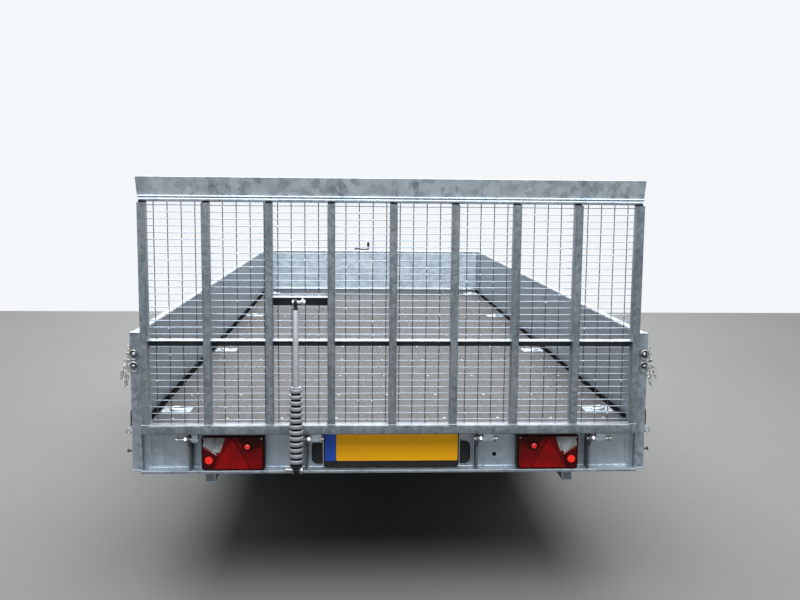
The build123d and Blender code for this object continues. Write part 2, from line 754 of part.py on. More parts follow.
with BuildPart() as parking_brake_lever:
    with BuildSketch(Plane.YZ.offset(housing_half - 44)):
        base = arm_end - 120
        top = shaft_z + 42
        with BuildLine():
            Polyline((base - 40, top), (base + 40, top), (base + 26, top + 46),
                     (base - 250, top + 300), (base - 272, top + 282), (base - 26, top + 40),
                     close=True)
        make_face()
    extrude(amount=14)
save(parking_brake_lever, "parking_brake_lever")

rod_z = arm_top - arm_depth - 14
rod_rear = axle_ys["front"] + 90
rod_front = arm_end - 230
with BuildPart() as brake_rod:
    with BuildSketch(across(rod_rear)):
        with Locations((0, rod_z)):
            Circle(5)
    extrude(amount=-(rod_front - rod_rear))
    with BuildSketch(Plane.XY.offset(rod_z - 6)):
        rect(-90, 90, rod_rear - 12, rod_rear + 12)
    extrude(amount=12)
    with BuildSketch(Plane.XY.offset(rod_z - 6)):
        rect(-4, 4, rod_front - 20, rod_front)
    extrude(amount=shaft_z - 42 - rod_z + 6)
    hanger_y = min(cross_ys, key=lambda y: abs(y - rod_rear - 500))
    with BuildSketch(Plane.XY.offset(rod_z - 8)):
        rect(-3, 3, hanger_y - 15, hanger_y + 15)
    extrude(amount=cross_bottom - rod_z + 8)
save(brake_rod, "brake_rod")

# --- Jockey wheel ------------------------------------------------------------------------------
jockey_y = front_y + jockey_ahead
jockey_base = Plane(origin=(jockey_x, jockey_y, 0))
tube_bottom = arm_top - 78
tube_top = arm_top + 458
stem_radius = jockey_tube_radius - jockey_tube_wall - running_fit
fork_top = 2 * jockey_wheel_radius + 28
with BuildPart() as jockey_outer_tube:
    with BuildSketch(jockey_base.offset(tube_bottom)):
        Circle(jockey_tube_radius)
        Circle(jockey_tube_radius - jockey_tube_wall, mode=Mode.SUBTRACT)
    extrude(amount=tube_top - tube_bottom)
    with BuildSketch(jockey_base.offset(tube_top)):
        Circle(jockey_tube_radius + 3)
    extrude(amount=10)
    with BuildSketch(jockey_base.offset(tube_top + 10)):
        Circle(9)
    extrude(amount=35)
    with BuildSketch(Plane.YZ.offset(jockey_x)):
        with Locations((jockey_y, tube_top + 32)):
            Circle(7)
    extrude(amount=jockey_crank_reach + 6)
    with BuildSketch(jockey_base.offset(tube_top + 32)):
        with Locations((jockey_crank_reach, 0)):
            Circle(12)
    extrude(amount=jockey_grip_height)
save(jockey_outer_tube, "jockey_outer_tube")

with BuildPart() as jockey_inner_tube:
    with BuildSketch(jockey_base.offset(fork_top)):
        Circle(stem_radius)
    extrude(amount=460)
    with BuildSketch(jockey_base.offset(fork_top)):
        Circle(24)
    extrude(amount=10)
save(jockey_inner_tube, "jockey_inner_tube")

fork_gap = jockey_wheel_width / 2 + 5
jockey_axis_y = jockey_y - jockey_trail
with BuildPart() as jockey_fork:
    with BuildSketch(jockey_base.offset(fork_top - 6.3)):
        Circle(24)
        rect(-fork_gap - 5, fork_gap + 5, -jockey_trail, 24)
    extrude(amount=6)
    for side in sides.values():
        with BuildSketch(Plane.YZ.offset(jockey_x + side * fork_gap)):
            with BuildLine():
                Polyline((jockey_y + 24, fork_top - 6.3), (jockey_y - jockey_trail, fork_top - 6.3),
                         (jockey_axis_y - 16, jockey_wheel_radius),
                         (jockey_axis_y + 16, jockey_wheel_radius), close=True)
            make_face()
            with Locations((jockey_axis_y, jockey_wheel_radius)):
                Circle(16)
        extrude(amount=side * 5)
    with BuildSketch(about_x(jockey_axis_y, jockey_wheel_radius)):
        rect(jockey_x - fork_gap - 10, jockey_x + fork_gap + 10, 0, 8)
    revolve(axis=Axis((0, jockey_axis_y, jockey_wheel_radius), (1, 0, 0)))
save(jockey_fork, "jockey_fork")

with BuildPart() as jockey_wheel:
    with BuildSketch(about_x(jockey_axis_y, jockey_wheel_radius)):
        half = jockey_wheel_width / 2
        rect(jockey_x - half - 3, jockey_x + half + 3, 8 + running_fit, 24)
        rect(jockey_x - 8, jockey_x + 8, 23, 70)
        rect(jockey_x - half, jockey_x + half, 68, 90)
        rect(jockey_x - half + 10, jockey_x + half - 10, 89, jockey_wheel_radius)
    revolve(axis=Axis((0, jockey_axis_y, jockey_wheel_radius), (1, 0, 0)))
save(jockey_wheel, "jockey_wheel")

with BuildPart() as jockey_clamp:
    with BuildSketch(jockey_base.offset(arm_top - arm_depth + 12)):
        Circle(jockey_tube_radius + 9)
        rect(0, -jockey_x - housing_half - arm_width, -33, 33)
        Circle(jockey_tube_radius + running_fit, mode=Mode.SUBTRACT)
    extrude(amount=56)
save(jockey_clamp, "jockey_clamp")

# --- Prop stands -------------------------------------------------------------------------------
prop_length = prop_z - 5
prop_pivot_y = rear_y + prop_foot_y + prop_length
with BuildPart() as prop_stand_brackets:
    for side in sides.values():
        for dx in (-32, 24):
            with BuildSketch(Plane.YZ.offset(side * prop_x + dx)):
                rect(prop_pivot_y - 30, prop_pivot_y + 30, prop_z, cross_bottom)
                with Locations((prop_pivot_y, prop_z)):
                    Circle(30)
            extrude(amount=8)
        with BuildSketch(about_x(prop_pivot_y, prop_z)):
            rect(side * prop_x - 36, side * prop_x + 36, 0, 8)
        revolve(axis=Axis((0, prop_pivot_y, prop_z), (1, 0, 0)))
save(prop_stand_brackets, "prop_stand_brackets")

for name, side in sides.items():
    with BuildPart() as prop_stand:
        with BuildSketch(across(prop_pivot_y - prop_length)):
            with Locations((side * prop_x, prop_z)):
                Rectangle(prop_size, prop_size)
        extrude(amount=-prop_length)
        with BuildSketch(about_x(prop_pivot_y, prop_z)):
            rect(side * prop_x - 22, side * prop_x + 22, 8 + running_fit, 22)
        revolve(axis=Axis((0, prop_pivot_y, prop_z), (1, 0, 0)))
        with BuildSketch(Plane.YZ.offset(side * prop_x - 30)):
            with Locations((prop_pivot_y, prop_z)):
                Circle(8 + running_fit)
        extrude(amount=60, mode=Mode.SUBTRACT)
    save(prop_stand, f"prop_stand_{name}")
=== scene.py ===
"""Looks of a galvanised flatbed trailer with a mesh loading ramp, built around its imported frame."""
import math
import random

import bmesh
import bpy
from bpy.props import FloatProperty, FloatVectorProperty, IntProperty, PointerProperty
from mathutils import Matrix, Vector


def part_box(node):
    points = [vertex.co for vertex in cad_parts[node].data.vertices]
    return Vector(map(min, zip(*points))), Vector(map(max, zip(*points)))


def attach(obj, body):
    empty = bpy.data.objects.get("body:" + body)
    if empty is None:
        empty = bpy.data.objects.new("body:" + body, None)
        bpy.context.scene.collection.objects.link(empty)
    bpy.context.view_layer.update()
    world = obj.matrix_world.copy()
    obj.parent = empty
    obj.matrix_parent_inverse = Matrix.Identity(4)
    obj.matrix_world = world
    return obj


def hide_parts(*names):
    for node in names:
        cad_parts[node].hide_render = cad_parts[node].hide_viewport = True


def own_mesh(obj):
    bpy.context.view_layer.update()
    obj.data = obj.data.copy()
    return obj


bl_info = {
    "name": "Utility Trailer Looks",
    "version": (1, 0, 0),
    "blender": (4, 5, 0),
    "location": "3D View > Sidebar > Trailer",
    "description": "Finishes and detailed pieces of a flatbed trailer with a mesh ramp",
    "category": "Object",
}

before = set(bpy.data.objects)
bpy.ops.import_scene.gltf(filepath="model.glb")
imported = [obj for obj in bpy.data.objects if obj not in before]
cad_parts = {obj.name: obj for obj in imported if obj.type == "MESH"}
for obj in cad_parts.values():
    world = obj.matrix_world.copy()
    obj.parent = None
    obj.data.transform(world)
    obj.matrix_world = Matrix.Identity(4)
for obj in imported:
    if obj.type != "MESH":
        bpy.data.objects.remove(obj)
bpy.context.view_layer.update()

# Corners of the nodes that the pieces are placed by.
BED_LOW, BED_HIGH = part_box("side_raves")
BEAM_LOW, BEAM_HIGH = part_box("rear_beam")
RAMP_LOW, RAMP_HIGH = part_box("ramp_frame")
MESH_LOW, MESH_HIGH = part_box("ramp_mesh")
LIP_LOW, LIP_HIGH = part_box("ramp_lip")
POST_LOW, POST_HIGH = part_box("corner_posts")
HEAD_LOW, HEAD_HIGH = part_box("headboard")
SPRING_LOW, SPRING_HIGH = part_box("assist_spring")
HOLDER_LOW, HOLDER_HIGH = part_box("plate_holder")
DECK_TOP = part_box("deck_boards")[1].z

SIDES = {"left": -1, "right": 1}
AXLES = ("front", "rear")
RIGHT, AHEAD, BACK, UP, DOWN = (1, 0, 0), (0, 1, 0), (0, -1, 0), (0, 0, 1), (0, 0, -1)
HERE = Matrix.Identity(4)
PLATE_LIFT = 0.007  # how far the plate sits above its node
RAIL_X = 0.545  # middle of a chassis rail
EYE_REACH = 0.290  # from an axle to its spring's eye
ROW_GAP = 0.2  # least distance between two rows of a node's points
STRUT_EYE = 0.012  # radius of the eyes at the strut's ends


def colour_property(name, description, default):
    """A colour that the user can pick."""
    return FloatVectorProperty(name=name, description=description, default=default, size=3,
                               min=0, max=1, subtype="COLOR")


def length_property(name, description, default):
    """A length in metres."""
    return FloatProperty(name=name, description=description, default=default, min=0,
                         unit="LENGTH", subtype="DISTANCE")


def count_property(name, description, default, least):
    """A number of like parts."""
    return IntProperty(name=name, description=description, default=default, min=least)


def power_property(name, description, default):
    """Strength of a light."""
    return FloatProperty(name=name, description=description, default=default, min=0)


class TrailerStage(bpy.types.PropertyGroup):
    """Camera, floor and light."""
    camera_place: FloatVectorProperty(
        name="Camera Place", description="Where the camera stands",
        default=(-0.1369, -6.4947, 1.5578), unit="LENGTH", subtype="TRANSLATION")
    camera_turn: FloatVectorProperty(
        name="Camera Turn", description="How the camera is turned",
        default=(math.radians(83.2128), math.radians(-0.506), math.radians(-2.6764)),
        subtype="EULER", unit="ROTATION")
    lens: FloatProperty(name="Lens", description="Focal length", default=41.17, min=10,
                        unit="CAMERA")
    floor: colour_property("Floor", "Pale grey of the studio floor", (0.158, 0.162, 0.160))
    backdrop: colour_property("Backdrop", "Near white behind the floor", (0.90, 0.93, 0.96))
    floor_end: length_property("Floor End", "Where the floor gives way to the backdrop", 5.27)
    daylight: power_property("Daylight", "Strength of the even light", 0.16)
    ceiling: power_property("Ceiling", "Power of the soft overhead lamp", 1640)
    far_ceiling: power_property("Far Ceiling", "Power of the lamp ahead", 800)


class TrailerFinishes(bpy.types.PropertyGroup):
    """Colours of the trailer's finishes."""
    zinc_light: colour_property("Zinc Light", "Fresh galvanising", (0.44, 0.495, 0.545))
    zinc_dark: colour_property("Zinc Dark", "Dull galvanising", (0.165, 0.20, 0.238))
    plated: colour_property("Plated", "Bright plated bolts and pins", (0.62, 0.62, 0.60))
    board: colour_property("Board", "Phenolic face of the deck", (0.030, 0.0285, 0.030))
    lamp_red: colour_property("Lamp Red", "Red lens", (0.16, 0.0008, 0.0012))
    lamp_amber: colour_property("Lamp Amber", "Amber lens", (0.80, 0.23, 0.01))
    plate_yellow: colour_property("Plate Yellow", "Reflective plate", (1.0, 0.47, 0.002))
    plate_blue: colour_property("Plate Blue", "Band at the plate's end", (0.020, 0.085, 0.50))
    rubber: colour_property("Rubber", "Tyres", (0.018, 0.018, 0.019))
    silver: colour_property("Silver", "Painted wheel discs", (0.52, 0.53, 0.54))
    black: colour_property("Black", "Moulded plastic", (0.008, 0.008, 0.009))
    sleeve_grey: colour_property("Sleeve Grey", "Ribbed sleeve of the strut", (0.26, 0.28, 0.31))
    tube_grey: colour_property("Tube Grey", "Paint on the strut's tube", (0.42, 0.45, 0.49))


class TrailerSizes(bpy.types.PropertyGroup):
    """Sizes of the details."""
    wire: length_property("Mesh Wire", "Diameter of the ramp's wires", 0.0040)
    wire_across: length_property("Wires Across", "Pitch of the upright wires", 0.0508)
    wire_up: length_property("Wires Up", "Pitch of the level wires", 0.0254)
    tube_wall: length_property("Tube Wall", "Wall of the ramp's tubes", 0.003)
    uprights: count_property("Uprights", "Bars across the ramp", 9, 2)
    ribs: count_property("Ribs", "Ribs of the strut's sleeve", 13, 3)
    tread_pitches: count_property("Tread Pitches", "Blocks round a tyre", 62, 12)
    wheel_bolts: count_property("Wheel Bolts", "Bolts in a wheel", 5, 3)
    chain_links: count_property("Chain Links", "Links of the longest keeper chain", 16, 2)


# --- Finishes -------------------------------------------------------------------------------


def plug(tree, value, socket):
    """Join a socket to another, or set its value."""
    if isinstance(value, bpy.types.NodeSocket):
        tree.links.new(value, socket)
    else:
        socket.default_value = value


def node(tree, kind, settings=None, **sockets):
    """Add a shader node with its settings; its sockets go by name, or by i and a number."""
    made = tree.nodes.new("ShaderNode" + kind)
    for key, value in (settings or {}).items():
        setattr(made, key, value)
    for key, value in sockets.items():
        numbered = key[0] == "i" and key[1:].isdigit()
        plug(tree, value, made.inputs[int(key[1:]) if numbered else key.replace("_", " ")])
    return made


def rgba(colour, gain=1.0, lift=0.0):
    """A colour with its alpha, lighter or darker by gain and lift."""
    return (*(c * gain + lift for c in colour), 1.0)


def capped(colour):
    """A colour with no part over 1."""
    return [min(1.0, c) for c in colour]


def seen_rays(tree):
    """Whether a ray belongs to the camera, a reflection or a clear view through."""
    ray = node(tree, "LightPath").outputs
    seen = ray["Is Camera Ray"]
    for kind in ("Is Glossy Ray", "Is Transmission Ray"):
        seen = node(tree, "Math", {"operation": "MAXIMUM"}, i0=seen, i1=ray[kind]).outputs[0]
    return seen


class Finish:
    """A material in the making: its tree, its shader and its coordinates."""

    def __init__(self, name):
        self.made = bpy.data.materials.new(name)
        self.made.use_nodes = True
        self.tree = self.made.node_tree
        self.shader = self.tree.nodes["Principled BSDF"]
        self.where = self.node("TexCoord").outputs["Object"]

    def node(self, kind, settings=None, **sockets):
        """Add a shader node."""
        return node(self.tree, kind, settings, **sockets)

    def noise(self, scale, detail=4.0, stretch=None, roughness=0.55):
        """Noise from 0 to 1, drawn out along any axis."""
        where = self.where
        if stretch:
            where = self.node("Mapping", Vector=where, Scale=stretch).outputs["Vector"]
        return self.node("TexNoise", Vector=where, Scale=scale, Detail=detail,
                         Roughness=roughness).outputs["Fac"]

    def cells(self, scale, feature="F1", output="Distance", randomness=1.0):
        """A pattern of cells."""
        return self.node("TexVoronoi", {"feature": feature}, Vector=self.where, Scale=scale,
                         Randomness=randomness).outputs[output]

    def mixed(self, *terms):
        """Sum of several patterns, each after its weight."""
        total = 0.0
        for weight, pattern in terms:
            total = self.node("Math", {"operation": "MULTIPLY_ADD"}, i0=pattern, i1=weight,
                              i2=total).outputs[0]
        return total

    def spread(self, pattern, low, high, from_low=0.35, from_high=0.65):
        """A pattern's middle range, stretched to low and high."""
        return self.node("MapRange", Value=pattern, From_Min=from_low, From_Max=from_high,
                         To_Min=low, To_Max=high).outputs["Result"]

    def blended(self, factor, first, second, way="MIX"):
        """Colour between two."""
        return self.node("Mix", {"data_type": "RGBA", "blend_type": way}, i0=factor, i6=first,
                         i7=second).outputs[2]

    def done(self, colour, rough, height, depth, strength, **sockets):
        """Plug in the colour, the roughness, the relief and any other sockets."""
        relief = self.node("Bump", Height=height, Distance=depth, Strength=strength)
        sockets.update(Base_Color=colour, Roughness=rough, Normal=relief.outputs["Normal"])
        for key, value in sockets.items():
            plug(self.tree, value, self.shader.inputs[key.replace("_", " ")])
        return self.made


def galvanised(name, light, dark, metal=0.62, rough=0.42, spangle=62, streak=0.35):
    """Hot-dip zinc: spangle, cloudy patches and runs."""
    zinc = Finish(name)
    tint = zinc.cells(spangle, output="Color")
    grain = zinc.node("SeparateColor", Color=tint).outputs["Red"]
    cloud = zinc.noise(4.5, 6.0)
    runs = zinc.noise(3.0, 5.0, (9, 9, 0.9))
    mottle = zinc.noise(42, 5.0, roughness=0.7)
    fine = zinc.noise(380, 2.0)
    shade = zinc.mixed((0.34, cloud), (0.15, grain), (streak, runs), (0.34, mottle))
    colour = zinc.blended(zinc.spread(shade, 0, 1, 0.46, 0.78), rgba(dark), rgba(light))
    colour = zinc.blended(1.0, colour, zinc.spread(fine, 0.93, 1.06, 0.3, 0.7), "MULTIPLY")
    dull = zinc.spread(zinc.mixed((0.5, mottle), (0.5, grain)), rough - 0.09, rough + 0.12,
                       0.3, 0.75)
    relief = zinc.mixed((0.5, mottle), (0.2, grain), (0.3, fine))
    return zinc.done(colour, dull, relief, 0.0005, 0.45, Metallic=metal)


def plated(name, colour, rough=0.26):
    """Bright plated steel with light handling marks."""
    plate = Finish(name)
    smear = plate.noise(26, 5.0, (1, 1, 0.4))
    shade = plate.blended(plate.spread(smear, 0, 1), rgba(colour, 0.72), rgba(colour))
    return plate.done(shade, plate.spread(smear, rough - 0.06, rough + 0.1),
                      plate.noise(420, 2.0), 0.0003, 0.4, Metallic=1.0)


def painted(name, colour, rough=0.42, metal=0.0, coat=0.3, dust=0.18):
    """Sprayed paint with orange peel and a little dust."""
    paint = Finish(name)
    cloud = paint.noise(9, 6.0)
    shade = paint.blended(paint.spread(cloud, 0, 1), rgba(colour, 1 - dust),
                          rgba(capped(c + 0.03 for c in colour)))
    return paint.done(shade, paint.spread(cloud, rough - 0.05, rough + 0.12),
                      paint.noise(300, 2.0), 0.0004, 0.35, Metallic=metal, Coat_Weight=coat)


def moulded(name, colour, rough=0.55, grain=520, depth=0.0005, shine=0.35):
    """Moulded plastic or rubber with a fine grain."""
    mould = Finish(name)
    cloud = mould.noise(14, 5.0)
    shade = mould.blended(mould.spread(cloud, 0, 1), rgba(colour), rgba(colour, 1.5, 0.002))
    return mould.done(shade, mould.spread(cloud, rough - 0.08, rough + 0.12),
                      mould.noise(grain, 3.0), depth, 0.5, Specular_IOR_Level=shine)


def phenolic(name, colour):
    """Deck board: a film-faced ply with a raised anti-slip weave and scuffs."""
    board = Finish(name)
    weave = []
    for turn in (58, -58):
        turned = board.node("Mapping", Vector=board.where, Rotation=(0, 0, math.radians(turn)))
        weave.append((0.5, board.node("TexWave", Vector=turned.outputs["Vector"], Scale=52,
                                      Distortion=0.4, Detail=1.0).outputs["Fac"]))
    pattern = board.mixed(*weave)
    scuff = board.noise(6.0, 6.0, (6, 0.7, 1), 0.7)
    shade = board.mixed((0.4, board.noise(2.2, 6.0)), (0.35, scuff), (0.25, pattern))
    colours = board.blended(board.spread(shade, 0, 1, 0.35, 0.66), rgba(colour, 0.72),
                            rgba(colour, 1.28))
    return board.done(colours, board.spread(scuff, 0.46, 0.62), pattern, 0.0009, 0.6,
                      Specular_IOR_Level=0.18, Coat_Weight=0.06, Coat_Roughness=0.45)


def lens(name, colour, rough=0.12, cells=0.0, ribs=0.0, lift=1.6, glow=0.0):
    """Coloured lamp lens: a glossy coat over prisms or ribs."""
    glass = Finish(name)
    cloud = glass.noise(20, 3.0)
    patterns = [(0.25, glass.noise(160, 2.0))]
    if cells:
        patterns.append((6.0, glass.cells(cells, randomness=0.0)))
    if ribs:
        rib = glass.node("TexWave", {"bands_direction": "X"}, Vector=glass.where, Scale=ribs)
        patterns.append((0.8, rib.outputs["Fac"]))
    shade = glass.blended(glass.spread(cloud, 0, 1), rgba(colour, 0.8),
                          rgba(capped(c * lift for c in colour)))
    # painted light: glow makes a lens that is no lamp shine by itself
    light = {"Emission_Color": rgba(colour), "Emission_Strength": glow} if glow else {}
    return glass.done(shade, glass.spread(cloud, rough, rough + 0.12), glass.mixed(*patterns),
                      0.0006, 0.35, Coat_Weight=0.10, Coat_Roughness=0.04,
                      Specular_IOR_Level=0.12, **light)


def retroreflective(name, colour):
    """Number plate sheeting with its faint cell pattern and a faint glow of painted light."""
    sheet = Finish(name)
    cell = sheet.cells(230, "DISTANCE_TO_EDGE", randomness=0.15)
    cloud = sheet.noise(12, 4.0)
    factor = sheet.spread(sheet.mixed((0.6, cloud), (1.4, cell)), 0, 1, 0.2, 0.9)
    # painted light: the faint emission stands in for the light the sheeting sends back
    return sheet.done(sheet.blended(factor, rgba(colour, 0.84), rgba(colour)),
                      sheet.spread(cloud, 0.32, 0.45), cell, 0.0003, 0.3, Coat_Weight=0.08,
                      Coat_Roughness=0.18, Specular_IOR_Level=0.2,
                      Emission_Color=rgba(colour), Emission_Strength=0.10)


def floor_finish():
    """Sealed studio floor, which turns into the bright backdrop beyond its end."""
    stage = bpy.context.scene.trailer_stage
    floor = Finish("studio_floor")
    fine = floor.noise(24, 5.0)
    shade = floor.spread(floor.mixed((0.7, floor.noise(0.5, 6.0)), (0.3, fine)), 0, 1)
    floor.done(floor.blended(shade, rgba(stage.floor, 0.97), rgba(stage.floor, 1.03)),
               floor.spread(fine, 0.66, 0.74), fine, 0.0003, 0.1, Specular_IOR_Level=0.15)
    plain = floor.node("BsdfDiffuse", Color=rgba(stage.backdrop))
    bright = floor.node("Emission", Color=rgba(stage.backdrop), Strength=1.0)
    far = floor.node("MixShader", i0=seen_rays(floor.tree), i1=plain.outputs[0],
                     i2=bright.outputs[0])
    ahead = floor.node("SeparateXYZ", Vector=floor.where).outputs["Y"]
    beyond = floor.node("Math", {"operation": "GREATER_THAN"}, i0=ahead, i1=stage.floor_end)
    both = floor.node("MixShader", i0=beyond.outputs[0], i1=floor.shader.outputs[0],
                      i2=far.outputs[0])
    plug(floor.tree, both.outputs[0], floor.tree.nodes["Material Output"].inputs["Surface"])
    return floor.made


FINISHES = {}

# Each galvanised finish: its material, gains on the light and the dark zinc, and settings.
ZINC_FINISHES = {
    "zinc": ("steel", 1.0, 1.25, {}),
    "zinc_frame": ("frame", 0.64, 0.80, {"spangle": 90, "streak": 0.5}),
    "zinc_sheet": ("sheet", 0.68, 1.25, {"spangle": 44}),
    "zinc_beam": ("beam", 1.06, 2.0, {"rough": 0.38, "spangle": 50, "streak": 0.6}),
    "zinc_dull": ("dull", 0.5, 0.62, {"rough": 0.55, "spangle": 80}),
    "zinc_lip": ("lip", 1.0, 1.2, {"spangle": 40, "streak": 0.7}),
    # painted highlight: a lighter copy of the galvanising for top faces and edges where the overhead
    # light falls
    "zinc_painted_highlight": ("bright", 1.6, 2.4, {"rough": 0.32}),
    # painted light: a lighter copy of the galvanising for the headboard and small parts that catch
    # the light
    "zinc_painted_light": ("headboard", 1.55, 3.0, {"spangle": 36}),
    # painted shade: a dark copy of the galvanising for the hinge brackets' edges, which lie in shade
    "zinc_bracket_painted_shade": ("gusset", 0.34, 0.45, {"metal": 0.4, "rough": 0.5}),
    # painted shade: a dark copy of the galvanising for faces that lie in shade
    "zinc_painted_shade": ("shade", 0.16, 0.22, {"metal": 0.3, "rough": 0.6}),
    "wire": ("wire", 1.0, 1.7, {"rough": 0.34, "spangle": 150, "streak": 0.2}),
    # painted shade: a dark copy of the wire's zinc for the upright wires, which lie behind the level
    # ones
    "wire_painted_shade": ("wire_painted_shade", 0.5, 0.4, {"rough": 0.45, "spangle": 150, "streak": 0.2}),
    "wire_blob": ("drip", 1.8, 3.0, {"rough": 0.25, "spangle": 150}),
}

# Finish of each CAD node that stays in view.
NODE_FINISHES = {
    # painted shade: the hinge brackets get the dark copy of the zinc
    "zinc_bracket_painted_shade": ("ramp_hinge_brackets",),
    "zinc": ("corner_posts", "side_raves", "ramp_hinge_lugs", "assist_mount", "front_beam",
             "jockey_outer_tube", "jockey_inner_tube"),
    "zinc_sheet": ("side_wall_left", "side_wall_right"),
    # painted light: the headboard gets the lighter copy of the zinc for the light that falls on its
    # face
    "zinc_painted_light": ("headboard",),
    "zinc_beam": ("rear_beam",),
    "zinc_dull": ("chassis_rails", "crossmembers", "axle_front", "axle_rear", "spring_hangers",
                  "drawbar", "prop_stand_left", "prop_stand_right", "prop_stand_brackets"),
    "iron": ("leaf_springs", "spring_rockers"),
    "board": ("deck_boards",),
    "coupling": ("overrun_housing", "parking_brake_lever", "jockey_clamp"),
    "plated": ("brake_rod", "coupling_shaft", "jockey_fork"),
}


def build_finishes():
    """Make every finish, and give it to the CAD nodes that stay in view."""
    colours = bpy.context.scene.trailer_finishes
    red, rubber = colours.lamp_red, colours.rubber
    for key, (name, light_gain, dark_gain, settings) in ZINC_FINISHES.items():
        FINISHES[key] = galvanised(f"galvanised_{name}",
                                   [c * light_gain for c in colours.zinc_light],
                                   [c * dark_gain for c in colours.zinc_dark], **settings)
    FINISHES.update({
        "iron": painted("cast_iron", (0.045, 0.046, 0.05), 0.55, 0.5, 0.0, 0.3),
        "plated": plated("zinc_plate", colours.plated),
        "board": phenolic("plywood", colours.board),
        "plastic": moulded("black_plastic", colours.black),
        # a matt black; in the slots, grooves, holes and gaps it is painted shade
        "slot": moulded("slot_black", (0.004, 0.004, 0.004), 0.9, shine=0.0),
        "red": lens("red_lens", red, ribs=26),
        "red_dark": lens("red_lens_dark", [c * 0.3 for c in red], 0.15),
        "red_black": lens("red_lens_black", [c * 0.08 for c in red], 0.2),
        "red_prism": lens("red_reflector", [c * 1.7 for c in red], 0.1, cells=260, lift=1.3),
        # painted light: the bowls glow a little, standing in for the light they reflect
        "red_bowl_painted_glow": lens("red_bowl_painted_glow", (0.95, 0.03, 0.02), 0.1, glow=0.25),
        "clear": lens("clear_lens", (0.24, 0.25, 0.26), 0.1, ribs=60, lift=1.9),
        "amber": lens("amber_lens", colours.lamp_amber, cells=190),
        "mirror": plated("lamp_mirror", (0.85, 0.86, 0.88), 0.12),
        "yellow": retroreflective("plate_yellow", colours.plate_yellow),
        "blue": retroreflective("plate_blue", colours.plate_blue),
        "tyre": moulded("tyre_rubber", rubber, 0.72, 260, 0.0008),
        "roller": moulded("roller_rubber", [c * 1.3 for c in rubber], 0.7, 300),
        "silver": painted("rim_silver", colours.silver, 0.36, 0.75, 0.4),
        "gaiter": moulded("gaiter_rubber", (0.02, 0.02, 0.021), 0.6),
        "coupling": painted("coupling_black", (0.022, 0.022, 0.024), 0.38, 0.1, 0.4),
        "grip_red": moulded("red_grip", (0.42, 0.02, 0.015), 0.5),
        "spring": painted("spring_grey", colours.sleeve_grey, 0.42, 0.15, 0.3),
        "tube": painted("tube_grey", colours.tube_grey, 0.35, 0.4, 0.3),
        "drum": painted("brake_drum", (0.06, 0.06, 0.065), 0.5, 0.6, 0.0, 0.3),
        "floor": floor_finish(),
    })
    for finish, names in NODE_FINISHES.items():
        for name in names:
            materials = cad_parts[name].data.materials
            if not materials:
                materials.append(None)
            for i in range(len(materials)):
                materials[i] = FINISHES[finish]


# --- Mesh making ----------------------------------------------------------------------------


def axes(origin, x_axis, z_axis):
    """Matrix of a place whose local X and Z point along two given directions."""
    z = Vector(z_axis).normalized()
    x = Vector(x_axis)
    x = (x - z * x.dot(z)).normalized()
    made = Matrix((x, z.cross(x), z)).transposed().to_4x4()
    made.translation = Vector(origin)
    return made


def along(origin, direction):
    """Matrix of a place whose local Z points along a direction."""
    z = Vector(direction).normalized()
    side = Vector(UP) if abs(z.z) < 0.9 else Vector(RIGHT)
    return axes(origin, side.cross(z), z)


def across(x, y, z):
    """Matrix of a place whose local X points ahead and local Z to the right."""
    return axes((x, y, z), AHEAD, RIGHT)


def spot(x, y, z):
    """Matrix of an upright place."""
    return Matrix.Translation((x, y, z))


def middle_of(corners):
    """Middle of a box between two corners."""
    return (corners[0] + corners[1]) / 2


def angles(count):
    """Angles evenly spread over a full turn."""
    return [math.tau * k / count for k in range(count)]


def signed_area(points):
    """Twice the area of an outline, negative when it runs clockwise."""
    return sum(points[i - 1][0] * p[1] - p[0] * points[i - 1][1] for i, p in enumerate(points))


def round_box(width, height, radius, steps=4, centre=(0, 0)):
    """Outline of a rectangle with rounded corners."""
    points = []
    for quarter, (sx, sy) in enumerate(((1, 1), (-1, 1), (-1, -1), (1, -1))):
        for step in range(steps + 1):
            angle = math.radians(90 * (quarter + step / steps))
            points.append((centre[0] + sx * (width / 2 - radius) + radius * math.cos(angle),
                           centre[1] + sy * (height / 2 - radius) + radius * math.sin(angle)))
    return points


def smooth_corners(points, radius, steps=4):
    """A polygon with its corners rounded off."""
    made = []
    for i, point in enumerate(points):
        corner = Vector(point)
        before = Vector(points[i - 1]) - corner
        after = Vector(points[(i + 1) % len(points)]) - corner
        reach = min(radius, before.length / 2.2, after.length / 2.2)
        start, end = corner + before.normalized() * reach, corner + after.normalized() * reach
        for step in range(steps + 1):
            t = step / steps
            made.append(tuple(start.lerp(corner, t).lerp(corner.lerp(end, t), t)))
    return made if signed_area(made) > 0 else made[::-1]


def circle(radius, count=24):
    """Outline of a circle."""
    return [(radius * math.cos(a), radius * math.sin(a)) for a in angles(count)]


def smooth_path(points, steps=6):
    """Points on a rounded line through the given ones."""
    given = [Vector(p) for p in points]
    last = len(given) - 1
    made = []
    for i in range(last):
        a, b, c, d = (given[min(max(i + k, 0), last)] for k in (-1, 0, 1, 2))
        for t in (step / steps for step in range(steps)):
            made.append(0.5 * ((2 * b) + (c - a) * t + (2 * a - 5 * b + 4 * c - d) * t * t
                               + (3 * b - 3 * c + d - a) * t ** 3))
    return made + [given[-1]]


def show(name, data):
    """An object of the scene from its data."""
    made = bpy.data.objects.new(name, data)
    bpy.context.scene.collection.objects.link(made)
    return made


def settle(made, body, replaced=(), slot=None):
    """Tie a finished object to its body and its nodes; its slot is not used."""
    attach(made, body)
    if replaced:
        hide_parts(*replaced)
    return made


